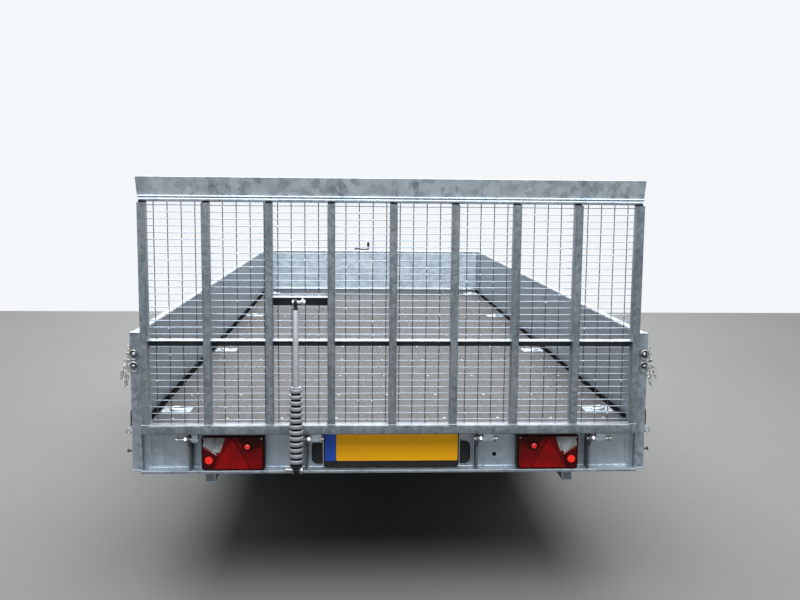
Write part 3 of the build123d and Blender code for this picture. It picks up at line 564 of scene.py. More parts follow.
class Piece:
    """Collects the shapes of one piece and their finishes in one mesh."""

    def __init__(self, name):
        self.name = name
        self.mesh = bmesh.new()
        self.finishes = []

    def index(self, finish):
        """Material slot of a finish."""
        if finish not in self.finishes:
            self.finishes.append(finish)
        return self.finishes.index(finish)

    def face(self, corners, material):
        """One face, unless its corners fall together."""
        corners = list(dict.fromkeys(corners))
        if len(corners) > 2:
            made = self.mesh.faces.new(corners)
            made.material_index = material
            made.smooth = True

    def ring_faces(self, first, second, material):
        """Walls between two rings of points."""
        for i in range(len(first)):
            j = (i + 1) % len(first)
            self.face((first[i], first[j], second[j], second[i]), material)

    def skin(self, rings, material, closed=False):
        """Walls between each ring and the next, and flat ends on an open row of them."""
        for first, second in zip(rings, rings[1:] + rings[:1] if closed else rings[1:]):
            self.ring_faces(first, second, material)
        if not closed:
            self.face(rings[0][::-1], material)
            self.face(rings[-1], material)

    def ring(self, points, at=HERE):
        """Vertices at the given points."""
        return [self.mesh.verts.new(at @ Vector(p)) for p in points]

    def level(self, outline, z, at=HERE):
        """Vertices of an outline at a height."""
        return self.ring([(*p, z) for p in outline], at)

    def solid(self, verts, finish):
        """Give the faces round some vertices their finish."""
        for face in dict.fromkeys(f for v in verts for f in v.link_faces):
            face.material_index = self.index(finish)
            face.smooth = True

    def prism(self, outline, low, high, finish, at=HERE, bevel=0.0, hole=None):
        """An outline pushed from low to high along local Z, with eased edges and one hole."""
        material = self.index(finish)
        turn = 1 if signed_area(outline) > 0 else -1

        def eased(amount):
            """The outline drawn in by the bevel."""
            made = []
            for i, point in enumerate(outline):
                before, after = Vector(outline[i - 1]), Vector(outline[(i + 1) % len(outline)])
                tangent = (after - before).normalized()
                made.append(Vector(point) + Vector((-tangent.y, tangent.x)) * amount)
            return made

        levels = [(low, bevel), (low + bevel, 0), (high - bevel, 0), (high, bevel)] if bevel \
            else [(low, 0), (high, 0)]
        rings = [self.level(eased(inset * turn) if inset else outline, z, at)
                 for z, inset in levels]
        if hole:
            rings += [self.level(hole, z, at) for z in (high, low)]
        self.skin(rings, material, closed=bool(hole))

    def box(self, low, high, finish, bevel=0.0012, at=HERE):
        """A block between two corners, with eased edges."""
        low, high = Vector(low), Vector(high)
        size = high - low
        bevel = min(bevel, min(size) / 3)
        place = at @ Matrix.Translation((low + high) / 2) @ Matrix.Diagonal((*size, 1))
        verts = bmesh.ops.create_cube(self.mesh, size=1.0, matrix=place)["verts"]
        self.solid(verts, finish)
        if bevel > 0.0002:
            edges = list(dict.fromkeys(e for v in verts for e in v.link_edges))
            bmesh.ops.bevel(self.mesh, geom=edges, offset=bevel, segments=2, affect="EDGES",
                            profile=0.6, material=-1)

    def ball(self, place, finish, subdivisions=1, radius=1.0):
        """A ball, which the place's matrix may stretch."""
        made = bmesh.ops.create_icosphere(self.mesh, subdivisions=subdivisions, radius=radius,
                                          matrix=place)
        self.solid(made["verts"], finish)

    def hollow(self, width, height, wall, length, finish, at, radius=0.004):
        """A square tube along local Z, open at both ends."""
        outer = round_box(width, height, radius)
        inner = round_box(width - 2 * wall, height - 2 * wall, max(radius - wall, 0.0008))
        self.skin([self.level(outline, z, at) for outline, z in
                   ((outer, 0), (outer, length), (inner, length), (inner, 0))],
                  self.index(finish), closed=True)

    def lathe(self, profile, finish, at=HERE, count=32, closed=False):
        """A profile of (radius, height) turned about local Z; finish may be one per span."""
        per_span = finish if isinstance(finish, list) else [finish] * len(profile)
        rings = [self.level(circle(radius, count), height, at) if radius >= 1e-6
                 else self.ring([(0, 0, height)], at) * count for radius, height in profile]
        spans = zip(rings, rings[1:] + rings[:1] if closed else rings[1:])
        for span, (first, second) in enumerate(spans):
            self.ring_faces(first, second, self.index(per_span[span]))

    def rod(self, points, radius, finish, count=10, closed=False, squash=1.0):
        """A round bar along a path; radius may be one for each point."""
        points = [Vector(p) for p in points]
        total = len(points)
        radii = radius if isinstance(radius, list) else [radius] * total
        side = None
        rings = []
        for i, point in enumerate(points):
            before = points[i - 1] if i or closed else point
            after = points[(i + 1) % total] if i < total - 1 or closed else point
            tangent = (after - before).normalized()
            if side is None:
                side = tangent.orthogonal().normalized()
            side = (side - tangent * side.dot(tangent)).normalized()
            up = tangent.cross(side)
            rings.append(self.ring([point + side * x + up * y * squash
                                    for x, y in circle(radii[i], count)]))
        self.skin(rings, self.index(finish), closed)

    def hoop(self, points, radius, finish, count):
        """A closed round bar."""
        self.rod(points, radius, finish, count, closed=True)

    def dome(self, radius, height, finish, at, count=16, steps=4):
        """A rounded head on local Z."""
        profile = [(radius * math.cos(a), height * math.sin(a))
                   for a in (math.pi / 2 * i / steps for i in range(steps))]
        self.lathe([(radius, -0.0005), *profile, (0, height)], finish, at, count)

    def nut(self, at, across_flats, height, finish="plated", stud=0.0):
        """A hexagon head or nut on a washer, with a stud that may stand proud."""
        washer, thick = across_flats * 0.62, 0.0014
        self.lathe([(0, 0), (washer, 0), (washer, thick), (0, thick)], finish, at, 20)
        base = at @ spot(0, 0, thick)
        self.prism(circle(across_flats / 2 / math.cos(math.pi / 6), 6), 0, height, finish, base,
                   bevel=min(0.0012, height / 4))
        if stud:
            top = height + stud
            self.lathe([(across_flats * 0.3, height), (across_flats * 0.3, top - 0.001),
                        (across_flats * 0.24, top), (0, top)], finish, base, 12)

    def weld(self, start, end, radius=0.0028, finish="zinc_frame", seed=1):
        """A rippled seam between two points."""
        start, end = Vector(start), Vector(end)
        steps = max(2, int((end - start).length / 0.006))
        draw = random.Random(seed)
        points = [start.lerp(end, i / steps) for i in range(steps + 1)]
        self.rod(points, [radius * draw.uniform(0.72, 1.2) for _ in points], finish, 6)

    def chain(self, points, length, wire, finish="plated"):
        """Links along a path, each turned a quarter from the last."""
        half, width = length / 2 - wire, length * 0.3
        for i, (start, end) in enumerate(zip(points, points[1:])):
            start, end = Vector(start), Vector(end)
            direction = (end - start).normalized()
            side = Matrix.Rotation(math.radians(90 * (i % 2) + 20), 3, direction) \
                @ direction.orthogonal().normalized()
            self.hoop([(start + end) / 2
                       + direction * (half * math.cos(a) * (1.0 if abs(math.cos(a)) > 0.5 else 1.1))
                       + side * width * math.sin(a) for a in angles(10)], wire, finish, 6)

    def shape(self, sharp=38):
        """Mesh data with its material slots, smooth up to the sharp angle in degrees."""
        bmesh.ops.recalc_face_normals(self.mesh, faces=self.mesh.faces)
        data = bpy.data.meshes.new(self.name)
        self.mesh.to_mesh(data)
        self.mesh.free()
        for finish in self.finishes:
            data.materials.append(FINISHES[finish])
        data.set_sharp_from_angle(angle=math.radians(sharp))
        return data

    def put(self, body, *replaced, slot=None):
        """Finish the piece as an object that rides on a body and stands for CAD nodes."""
        return settle(show(self.name, self.shape()), body, replaced, slot)


# --- Ramp -----------------------------------------------------------------------------------


def build_ramp_mesh(sizes):
    """Welded wires, with the odd run of zinc left at a crossing."""
    piece = Piece("ramp_wire_mesh")
    draw = random.Random(11)
    radius, bow, bare_width, bare_height = sizes.wire / 2, 0.0008, 0.098, 0.075
    y_level = MESH_LOW.y + radius + 0.0002
    columns = int((MESH_HIGH.x - MESH_LOW.x - bare_width) / sizes.wire_across) + 1
    rows = int((MESH_HIGH.z - MESH_LOW.z - bare_height) / sizes.wire_up) + 1
    top, bottom = MESH_HIGH.z - 0.030, RAMP_LOW.z + 0.012
    half = RAMP_HIGH.x - 0.006
    xs = [(i - (columns - 1) / 2) * sizes.wire_across for i in range(columns)]
    zs = [top - i * sizes.wire_up for i in range(rows)]
    for x in xs:
        bend = draw.uniform(-bow, bow)
        # painted shade: the upright wires get the dark copy of the wire's zinc
        piece.rod([(x + bend * math.sin(k * 1.3), y_level + radius * 1.45,
                    bottom + (top + 0.02 - bottom) * k / 7) for k in range(8)],
                  radius * 0.9, "wire_painted_shade", 8)
    for z in zs:
        bend = draw.uniform(-bow, bow)
        piece.rod([(-half + 2 * half * k / 12, y_level, z + bend * math.sin(k * 1.7))
                   for k in range(13)], radius * 0.86, "wire", 8)
    for x, z in ((x, z) for x in xs for z in zs):
        if draw.random() < 0.16:
            size = draw.uniform(1.25, 2.0) * radius
            blob = spot(x + draw.uniform(-1, 1) * radius, y_level - 0.0006,
                        z - draw.uniform(0, 2.2) * radius)
            stretch = (size, size * 0.8, size * draw.uniform(0.8, 1.9), 1)
            piece.ball(blob @ Matrix.Diagonal(stretch), "wire_blob")
    piece.put("loading_ramp", "ramp_mesh", slot="galvanised_steel")


def build_ramp_frame(sizes):
    """Open-ended tubes, angle rails and their seams."""
    piece = Piece("ramp_frame_tubes")
    wall, width = sizes.tube_wall, 0.028
    back, front, half = RAMP_LOW.y, RAMP_HIGH.y, RAMP_HIGH.x
    middle, depth = (back + front) / 2, front - back
    bottom_rail, top_rail, ease = 0.037, 0.018, 0.0008
    piece.hollow(depth, bottom_rail, wall, 2 * half, "zinc_frame",
                 across(-half, middle, RAMP_LOW.z + bottom_rail / 2), 0.005)
    foot, head = RAMP_LOW.z + bottom_rail - 0.001, RAMP_HIGH.z - 0.020
    reach = half - width / 2
    places = [-reach + 2 * reach * i / (sizes.uprights - 1) for i in range(sizes.uprights)]
    for i, x in enumerate(places):
        piece.hollow(width, depth - 0.001, wall, head - foot, "zinc_frame",
                     spot(x, middle, foot))
        x0, x1 = x - width / 2, x + width / 2
        piece.weld((x0, back + 0.001, foot + 0.001), (x1, back + 0.001, foot + 0.001), seed=i)
        for edge in (x0, x1):
            piece.weld((edge, back + 0.003, foot), (edge, front - 0.003, foot), seed=i + 20)
    middle_rail, short_rail = RAMP_LOW.z + 0.3595, RAMP_LOW.z + 0.523
    rails = [(*pair, middle_rail, 0.027) for pair in zip(places, places[1:])]
    rails.append((*places[2:4], short_rail, 0.036))
    for x0, x1, top, height in rails:
        x0, x1 = x0 + width / 2 - 0.001, x1 - width / 2 + 0.001
        under, face = top - wall, front - 0.001
        # painted shade and painted highlight: each rail's face gets the dark copy of the zinc and a
        # thin strip over its top gets the lighter copy
        piece.box((x0, back, under), (x1, front, top), "zinc_frame", ease)
        piece.box((x0, face - wall, top - height), (x1, face, under), "zinc_painted_shade", ease)
        piece.box((x0, back - 0.0003, under + 0.0010), (x1, face, top + 0.0004), "zinc_painted_highlight",
                  ease)
    # painted highlight: the top rail's rounded edge gets the lighter copy of the zinc
    piece.prism(round_box(0.023, top_rail, 0.0085, 6), 0, 2 * half, "zinc_painted_highlight",
                across(-half, front - 0.011, RAMP_HIGH.z - top_rail / 2), 0.001)
    for x in places:
        x0, x1 = x - width / 2, x + width / 2
        # painted shade: a black plate inside each upright's open top, and a black block where it
        # meets the top rail
        piece.box((x0 + wall, back + wall + 0.001, head - 0.030),
                  (x1 - wall, front - wall - 0.001, head - 0.028), "slot", 0)
        piece.box((x0 + 0.001, front - 0.026, RAMP_HIGH.z - 0.0255),
                  (x1 - 0.001, front - 0.004, RAMP_HIGH.z - 0.0165), "slot", 0)
    piece.put("loading_ramp", "ramp_frame", slot="galvanised_steel")


def build_ramp_lip():
    """Folded run-on lip: a rolled foot with a painted highlight, and a leaning plate."""
    piece = Piece("ramp_lip_plate")
    low, high, sheet, welds = LIP_LOW, LIP_HIGH, 0.003, 8
    foot, top, width = RAMP_HIGH.y - 0.015, LIP_LOW.y, LIP_HIGH.x - LIP_LOW.x
    outline = [(foot, low.z + 0.003), (foot + sheet + 0.001, low.z + 0.002),
               (top + sheet, high.z - 0.001), (top + sheet / 2, high.z), (top, high.z - 0.001)]
    piece.prism(outline, 0, width, "zinc_lip", across(low.x, 0, 0), 0.0006)
    for vert in piece.mesh.verts:
        vert.co.x *= 1 + 0.006 * (vert.co.z - low.z) / (high.z - low.z)
    # painted highlight: the lip's rolled foot gets the lighter copy of the zinc
    piece.prism(round_box(0.027, 0.008, 0.0039, 5), 0, width - 0.002, "zinc_painted_highlight",
                across(low.x + 0.001, RAMP_HIGH.y - 0.011, low.z + 0.0025), 0.001)
    for k in range(welds):
        x = low.x + width * (k + 0.5) / welds
        piece.weld((x - 0.012, foot, low.z + 0.004), (x + 0.012, foot, low.z + 0.004), 0.0022,
                   "zinc_lip", k)
    piece.put("loading_ramp", "ramp_lip", slot="galvanised_steel")


def build_ramp_fittings():
    """Hinge lugs, barrels, pins and nuts, and the strut's bracket, all carried by the ramp."""
    piece = Piece("ramp_hinges")
    pivot_y, pivot_z = RAMP_HIGH.y - 0.025, DECK_TOP - 0.043
    outer = BED_HIGH.x - 0.222
    inner = (HOLDER_HIGH.x - HOLDER_LOW.x) / 2 + 0.020
    pin_radius, barrel_radius = 0.0078, 0.0125
    # Each hinge: its place, and where its lug and its pin start and end from there.
    for x, lug_start, lug_end, pin_start, pin_end in (
            (-outer, 0.012, 0.035, -0.053, 0.036), (-inner, 0.020, 0.060, -0.012, 0.068),
            (inner, 0.020, 0.060, -0.012, 0.078), (outer - 0.004, 0.020, 0.060, -0.012, 0.084)):
        x0, x1 = x + lug_start, x + lug_end
        piece.box((x0, pivot_y - 0.017, pivot_z + 0.004),
                  (x1, pivot_y + 0.017, RAMP_LOW.z + 0.001), "zinc_beam", 0.003)
        length = lug_end - lug_start + 0.002
        # painted highlight: the hinge barrels get the lighter copy of the zinc
        piece.lathe([(pin_radius, 0), (barrel_radius - 0.001, 0), (barrel_radius, 0.001),
                     (barrel_radius, length - 0.001), (barrel_radius - 0.001, length),
                     (pin_radius, length)], "zinc_painted_highlight",
                    along((x0 - 0.001, pivot_y, pivot_z), RIGHT), 24, closed=True)
        # painted highlight: the seams on the lugs get the lighter copy of the zinc
        for y in (pivot_y - 0.015, pivot_y + 0.015):
            piece.weld((x0, y, RAMP_LOW.z), (x1, y, RAMP_LOW.z), 0.0025, "zinc_painted_highlight")
        thin = pin_start < -0.03
        span = pin_end - pin_start
        side, narrow, radius = (-1, 0.030, 0.0048) if thin else (1, 0.0, pin_radius)
        piece.lathe([(0, 0), (radius * 0.8, 0), (radius, 0.001), (radius, narrow + 0.0005),
                     (pin_radius, narrow + 0.001), (pin_radius, span - 0.001),
                     (0.0065, span), (0, span)], "plated",
                    along((x + pin_start, pivot_y, pivot_z), RIGHT), 18)
        piece.nut(along((x + side * 0.0065, pivot_y, pivot_z), (side, 0, 0)), 0.023, 0.0095)
        ring_x = x + (pin_start + 0.012 if thin else pin_end - 0.008)
        piece.hoop([(ring_x + 0.003 * math.sin(2 * a), pivot_y - 0.003 + 0.012 * math.cos(a),
                     pivot_z + 0.012 * math.sin(a)) for a in angles(16)], 0.0015, "plated", 6)
    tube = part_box("assist_tube")
    eye, ear = middle_of(tube), STRUT_EYE
    eye.z = tube[1].z - STRUT_EYE
    outline = smooth_corners([(eye.y - ear, eye.z - ear), (RAMP_LOW.y, eye.z - ear),
                              (RAMP_LOW.y, eye.z + ear), (eye.y - ear, eye.z + ear)], 0.009)
    piece.prism(outline, 0, 0.006, "zinc_beam", across(eye.x + 0.022, 0, 0), 0.001)
    piece.lathe([(0, 0), (0.0048, 0), (0.0058, 0.001), (0.0058, 0.045), (0.005, 0.047),
                 (0, 0.047)], "plated", along((eye.x - 0.010, eye.y, eye.z), RIGHT), 16)
    for x, side, size, height in ((0.028, 1, 0.018, 0.007), (-0.0062, -1, 0.014, 0.005)):
        piece.nut(along((eye.x + x, eye.y, eye.z), (side, 0, 0)), size, height)
    piece.put("loading_ramp", "ramp_hinge_lugs", slot="galvanised_steel")


def build_assist(sizes):
    """Ribbed sleeve over the assist strut, its tube, its black ends and its pins."""
    low, high = SPRING_LOW, SPRING_HIGH
    x, y = (low.x + high.x) / 2, (low.y + high.y) / 2
    outer, height = (high.x - low.x) / 2, high.z - low.z
    groove, bore = outer - 0.009, 0.012
    piece = Piece("assist_ribbed_sleeve")
    pitch = height / sizes.ribs
    profile, shades = [(bore, 0.0005)], ["slot"]
    for i in range(sizes.ribs):
        base = i * pitch
        crest = outer + 0.0022 - 0.0045 * max(0.0, (i - sizes.ribs * 0.5) / sizes.ribs * 2)
        profile += [(groove, base + pitch * 0.02), (groove, base + pitch * 0.24)]
        profile += [(crest - 0.0045 * (1 - math.sin(a)), base + pitch * (0.63 - 0.36 * math.cos(a)))
                    for a in (math.pi * k / 8 for k in range(9))]
        # painted shade: the grooves between the ribs and the sleeve's ends get the black slot finish
        shades += ["slot"] * 2 + ["spring"] * 8 + ["slot"]
    profile += [(groove, height - 0.0005), (bore, height)]
    shades += ["slot"] * 2
    piece.lathe(profile, shades, spot(x, y, low.z), 40, closed=True)
    sleeve = piece.put("assist_lower", "assist_spring", slot="black_plastic")
    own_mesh(sleeve)

    foot, top = (corner.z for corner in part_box("assist_tube"))
    eye_z = top - STRUT_EYE
    end = eye_z - 0.030
    length = end - foot
    piece = Piece("assist_upper_tube")
    piece.lathe([(0.0062, 0), (0.0195, 0), (0.020, 0.001), (0.020, 0.0055), (0.0185, 0.0065),
                 (0.0115, 0.0065), (0.011, 0.009), (0.011, length - 0.001),
                 (0.0095, length + 0.001), (0.0062, length + 0.001)], "tube",
                spot(x, y, foot), 28, closed=True)
    piece.lathe([(0, 0.001), (0.009, 0.001), (0.009, 0.006), (0.0075, 0.008), (0.0075, 0.018),
                 (0, 0.018)], "plastic", spot(x, y, end), 20)
    piece.prism(circle(STRUT_EYE), 0, 0.012, "plastic", across(x - 0.006, y, eye_z), 0.001,
                circle(0.0065))
    piece.box((x - 0.0055, y - 0.007, eye_z - 0.017), (x + 0.0055, y + 0.007, eye_z - 0.009),
              "plastic", 0.001)
    piece.put("assist_upper", "assist_tube", slot="zinc_plate")

    bottom, top = (corner.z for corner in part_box("assist_rod"))
    pin_z, seat = bottom + STRUT_EYE, SPRING_LOW.z
    piece = Piece("assist_lower_rod")
    piece.lathe([(0, seat - 0.006), (outer - 0.003, seat - 0.006), (outer - 0.001, seat - 0.004),
                 (outer - 0.001, seat - 0.001), (outer - 0.003, seat), (0.006, seat),
                 (0.006, top - 0.002), (0.004, top), (0, top)],
                ["plastic"] * 5 + ["tube"] * 3, spot(x, y, 0), 24)
    piece.prism(circle(STRUT_EYE), 0, 0.021, "plastic", across(x - 0.0105, y, pin_z), 0.0015)
    piece.box((x - 0.0105, y - 0.011, pin_z), (x + 0.0105, y + 0.011, seat - 0.005), "plastic",
              0.002)
    piece.put("assist_lower", "assist_rod", slot="zinc_plate")

    piece = Piece("assist_pin")
    left = along((x - 0.0165, y, pin_z), (-1, 0, 0))
    for profile, count in (
            ([(0.004, 0.010), (0.004, 0.024), (0.003, 0.025), (0, 0.025)], 14),
            ([(0.004, 0.014), (0.0075, 0.0145), (0.0075, 0.018), (0.004, 0.0185)], 14),
            ([(0.0062, 0), (0.0062, 0.010), (0.005, 0.012), (0, 0.012)], 16),
            ([(0.0062, 0.001), (0.0095, 0.001), (0.0095, 0.0035), (0.0062, 0.0035)], 16)):
        piece.lathe(profile, "plated", left, count)
    piece.nut(along((x + 0.0165, y, pin_z), RIGHT), 0.017, 0.006)
    piece.put("chassis", slot="zinc_plate")


# --- Rear end -------------------------------------------------------------------------------


def build_tail_lamps():
    """Lamp bodies with their lenses, reflector triangle, bowls and screws."""
    for name, side in SIDES.items():
        node_name = f"tail_lamp_{name}"
        low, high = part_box(node_name)
        width, depth, height = high - low
        place = axes(((low.x + high.x) / 2, high.y, (low.z + high.z) / 2), RIGHT, BACK)
        piece = Piece(f"tail_lamp_unit_{name}")

        def share(u, v):
            """Place from shares of the lamp's width, from its outer end, and of its height."""
            return (u - 0.5) * width * -side, (0.5 - v) * height

        def at(u, v, z):
            """Matrix of a place on the lens."""
            return place @ spot(*share(u, v), z)

        for inset, corner, bottom, top, finish, ease in (
                (0, 0.012, 0, depth - 0.012, "plastic", 0.002),
                (0.004, 0.011, depth - 0.013, depth - 0.0045, "red_black", 0.003),
                (0.015, 0.008, depth - 0.006, depth - 0.0026, "red", 0.0012)):
            piece.prism(round_box(width - inset, height - inset, corner, 5), bottom, top, finish,
                        place, ease)
        # Moulded areas of the lens: corners, depth below the face, finish, rounding and ease.
        for corners, sunk, finish, radius, ease in (
                (((0.035, 0.40), (0.27, 0.58), (0.185, 0.945), (0.035, 0.945)),
                 0.0022, "red_dark", 0.006, 0.0008),
                (((0.57, 0.055), (0.955, 0.055), (0.955, 0.20), (0.80, 0.33), (0.655, 0.27)),
                 0.0022, "red_dark", 0.006, 0.0008),
                (((0.49, 0.03), (0.785, 0.965), (0.185, 0.965)),
                 0.0018, "red_dark", 0.008, 0.0008),
                (((0.49, 0.075), (0.765, 0.935), (0.205, 0.935)),
                 0.0004, "red_prism", 0.007, 0.001),
                (((0.065, 0.055), (0.385, 0.055), (0.30, 0.475), (0.245, 0.475), (0.03, 0.23)),
                 0.0010, "clear", 0.005, 0.0012),
                (((0.03, 0.23), (0.245, 0.475), (0.235, 0.50), (0.03, 0.262)),
                 0.0002, "mirror", 0.001, 0.0005),
                (((0.03, 0.29), (0.245, 0.535), (0.24, 0.55), (0.03, 0.305)),
                 0.0008, "mirror", 0.0006, 0.0004),
                (((0.955, 0.24), (0.955, 0.27), (0.80, 0.40), (0.79, 0.375)),
                 0.0015, "red_black", 0.001, 0.0004)):
            outline = smooth_corners([share(u, v) for u, v in corners], radius)
            piece.prism(outline, depth - 0.003, depth - sunk, finish, place, ease)
        # painted light: the red bowls glow a little, standing in for the light they reflect
        for u, v, radius, collar, ring, finish in (
                (0.12, 0.69, 0.0145, 0.003, "red", "red_bowl_painted_glow"),
                (0.73, 0.31, 0.0105, 0.008, "red_black", "red_bowl_painted_glow"),
                (0.245, 0.34, 0.011, 0.003, "clear", "mirror")):
            rim = radius + collar
            piece.lathe([(rim, 0), (rim - 0.001, 0.0022), (radius, 0.0024),
                         (radius * 0.8, 0.0012), (radius * 0.45, 0.0018), (0, 0.0028)],
                        [ring] * 2 + [finish] * 3, at(u, v, depth - 0.0030), 28)
        for u, v, radius in ((0.735, 0.285, 0.0034), (0.325, 0.29, 0.0030)):
            piece.dome(radius, 0.0016, "mirror", at(u, v, depth - 0.0012), 12, 3)
        for u, v in ((u, v) for u in (0.045, 0.955) for v in (0.085, 0.915)):
            screw = at(u, v, depth - 0.003)
            piece.dome(0.0032, 0.002, "red_dark" if v > 0.5 else "mirror", screw, 12, 3)
            # painted shade: a black bar stands for the shade inside the screw's slot
            piece.box((-0.0022, -0.0004, 0.0012), (0.0022, 0.0004, 0.0023), "slot", 0, screw)
        piece.put("chassis", node_name, slot="red_lens")


def build_plate():
    """Moulded plate holder with its rim and clips, and a blank two-colour plate."""
    width, depth, height = HOLDER_HIGH - HOLDER_LOW
    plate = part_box("number_plate")
    p_width, sheet, p_height = plate[1] - plate[0]
    middle, plate_z = middle_of((HOLDER_LOW, HOLDER_HIGH)), middle_of(plate).z
    place = axes((middle.x, HOLDER_HIGH.y, middle.z), RIGHT, BACK)
    raised = place @ spot(0, plate_z - middle.z + PLATE_LIFT, 0)
    piece = Piece("plate_holder_moulding")
    for outline, bottom, top, at, ease in (
            (round_box(width, 0.086, 0.022, 6), 0, depth - 0.006, place @ spot(0, -0.011, 0),
             0.003),
            (round_box(width - 0.086, height, 0.010, 6), 0, depth - 0.007, place, 0.002),
            (round_box(p_width + 0.014, p_height + 0.008, 0.008, 6), depth - 0.008,
             depth - 0.0005, raised, 0.0015)):
        piece.prism(outline, bottom, top, "plastic", at, ease)
    strip = -height / 2 + 0.009
    piece.box((-0.255, strip - 0.008, depth - 0.007), (0.255, strip + 0.012, depth - 0.002),
              "plastic", 0.001, place)
    for x in (-p_width / 2 - 0.004, p_width / 2 + 0.004):
        piece.box((x - 0.0012, -height / 2 + 0.004, depth - 0.007),
                  (x + 0.0012, height / 2 - 0.004, depth + 0.0005), "mirror", 0.0005, place)
    for x in (-0.285, 0.285):
        piece.dome(0.005, 0.0022, "plastic", place @ spot(x, 0.012, depth - 0.006), 14, 3)
    piece.put("chassis", "plate_holder", slot="black_plastic")

    piece = Piece("number_plate_blank")
    band, edge = 0.043, 0.0025
    yellow = p_width - band - 2 * edge - 0.001
    face = axes((0, plate[1].y, plate_z + PLATE_LIFT), RIGHT, BACK)
    piece.prism(round_box(p_width, p_height, 0.008, 6), 0, sheet - 0.0002, "plastic", face, 0.0003)
    for wide, centre, finish in ((yellow, p_width / 2 - edge - yellow / 2, "yellow"),
                                 (band, -p_width / 2 + edge + band / 2, "blue")):
        piece.prism(round_box(wide, p_height - 2 * edge, 0.006, 6, (centre, 0)),
                    sheet - 0.0004, sheet + 0.0003, finish, face, 0.0002)
    piece.put("chassis", "number_plate", slot="plate_yellow")


def build_beam_details():
    """Seams, gussets, drain holes and a grommet on the rear beam, and caps on the posts."""
    piece = Piece("rear_beam_details")
    web, floor, half = BEAM_HIGH.y - 0.005, BEAM_LOW.z + 0.005, BEAM_HIGH.x
    back, bottom = BEAM_LOW.y, BEAM_LOW.z

    def seam(x, y0, z0, y1, z1, seed, finish="zinc_beam", radius=0.003):
        """A seam in a plane across the beam."""
        piece.weld((x, y0, z0), (x, y1, z1), radius, finish, seed)

    for i, x in enumerate((-half + 0.186, -0.328, 0.328, half - 0.190)):
        seam(x - 0.005, web, floor + 0.002, web, DECK_TOP - 0.035, i)
        seam(x + 0.005, web, floor + 0.002, web, DECK_TOP - 0.035, i + 7)
        for edge in (x - 0.005, x + 0.005):
            seam(edge, web - 0.002, floor + 0.001, back + 0.010, floor + 0.001, i + 13)
        # painted highlight: the domes and small blocks on the beam's floor get the lighter copy of
        # the zinc
        piece.dome(0.009, 0.0050, "zinc_painted_highlight", spot(x + 0.010, back + 0.008, floor), 14, 3)
        piece.box((x + 0.004, back + 0.0005, bottom + 0.003),
                  (x + 0.030, back + 0.006, bottom + 0.010), "zinc_painted_highlight", 0.002)
    for side in (-1, 1):
        x = side * (half - 0.0015)
        seam(x, web, floor, web, DECK_TOP - 0.008, 31)
        seam(x, web, floor, back + 0.003, floor, 33)
        crease = side * (half - 0.030)
        piece.rod([(crease, web - 0.0003, floor + 0.004), (crease, web - 0.0003, DECK_TOP - 0.010)],
                  0.0016, "zinc_beam", 8)
    for x, z in ((0.405, floor + 0.048), (-0.52, floor + 0.040)):
        # painted shade: the black middle stands for the shade inside the hole
        piece.lathe([(0, 0.0012), (0.0055, 0.0012), (0.0075, 0.0016), (0.0085, 0.0006),
                     (0.0085, -0.001)], ["slot", "plastic", "plastic", "plastic"],
                    along((x, web + 0.0002, z), BACK), 20)
    # painted highlight: a rod in the lighter copy of the zinc along the beam's bottom flange
    piece.rod([(-half + 0.02, web - 0.001, floor + 0.0015),
               (half - 0.02, web - 0.001, floor + 0.0015)], 0.005, "zinc_painted_highlight", 8)
    piece.prism(round_box(0.005, 0.0105, 0.0024), 0, 2 * half - 0.004, "zinc",
                across(-half + 0.002, back + 0.0015, bottom + 0.0055), 0.001)
    foot, cap = POST_LOW.z + 0.004, POST_LOW.z + 0.535
    for side in (-1, 1):
        x = side * (POST_HIGH.x - 0.018)
        piece.box((x - 0.019, POST_LOW.y - 0.001, cap - 0.001),
                  (x + 0.019, BEAM_HIGH.y + 0.001, cap + 0.003), "zinc", 0.0015)
        piece.weld((x - 0.017, POST_LOW.y, foot), (x + 0.017, POST_LOW.y, foot), 0.0025, "zinc", 41)
        seam(x - side * 0.017, POST_LOW.y, foot, POST_LOW.y, DECK_TOP, 43, "zinc", 0.0024)
    piece.put("chassis", slot="galvanised_steel")


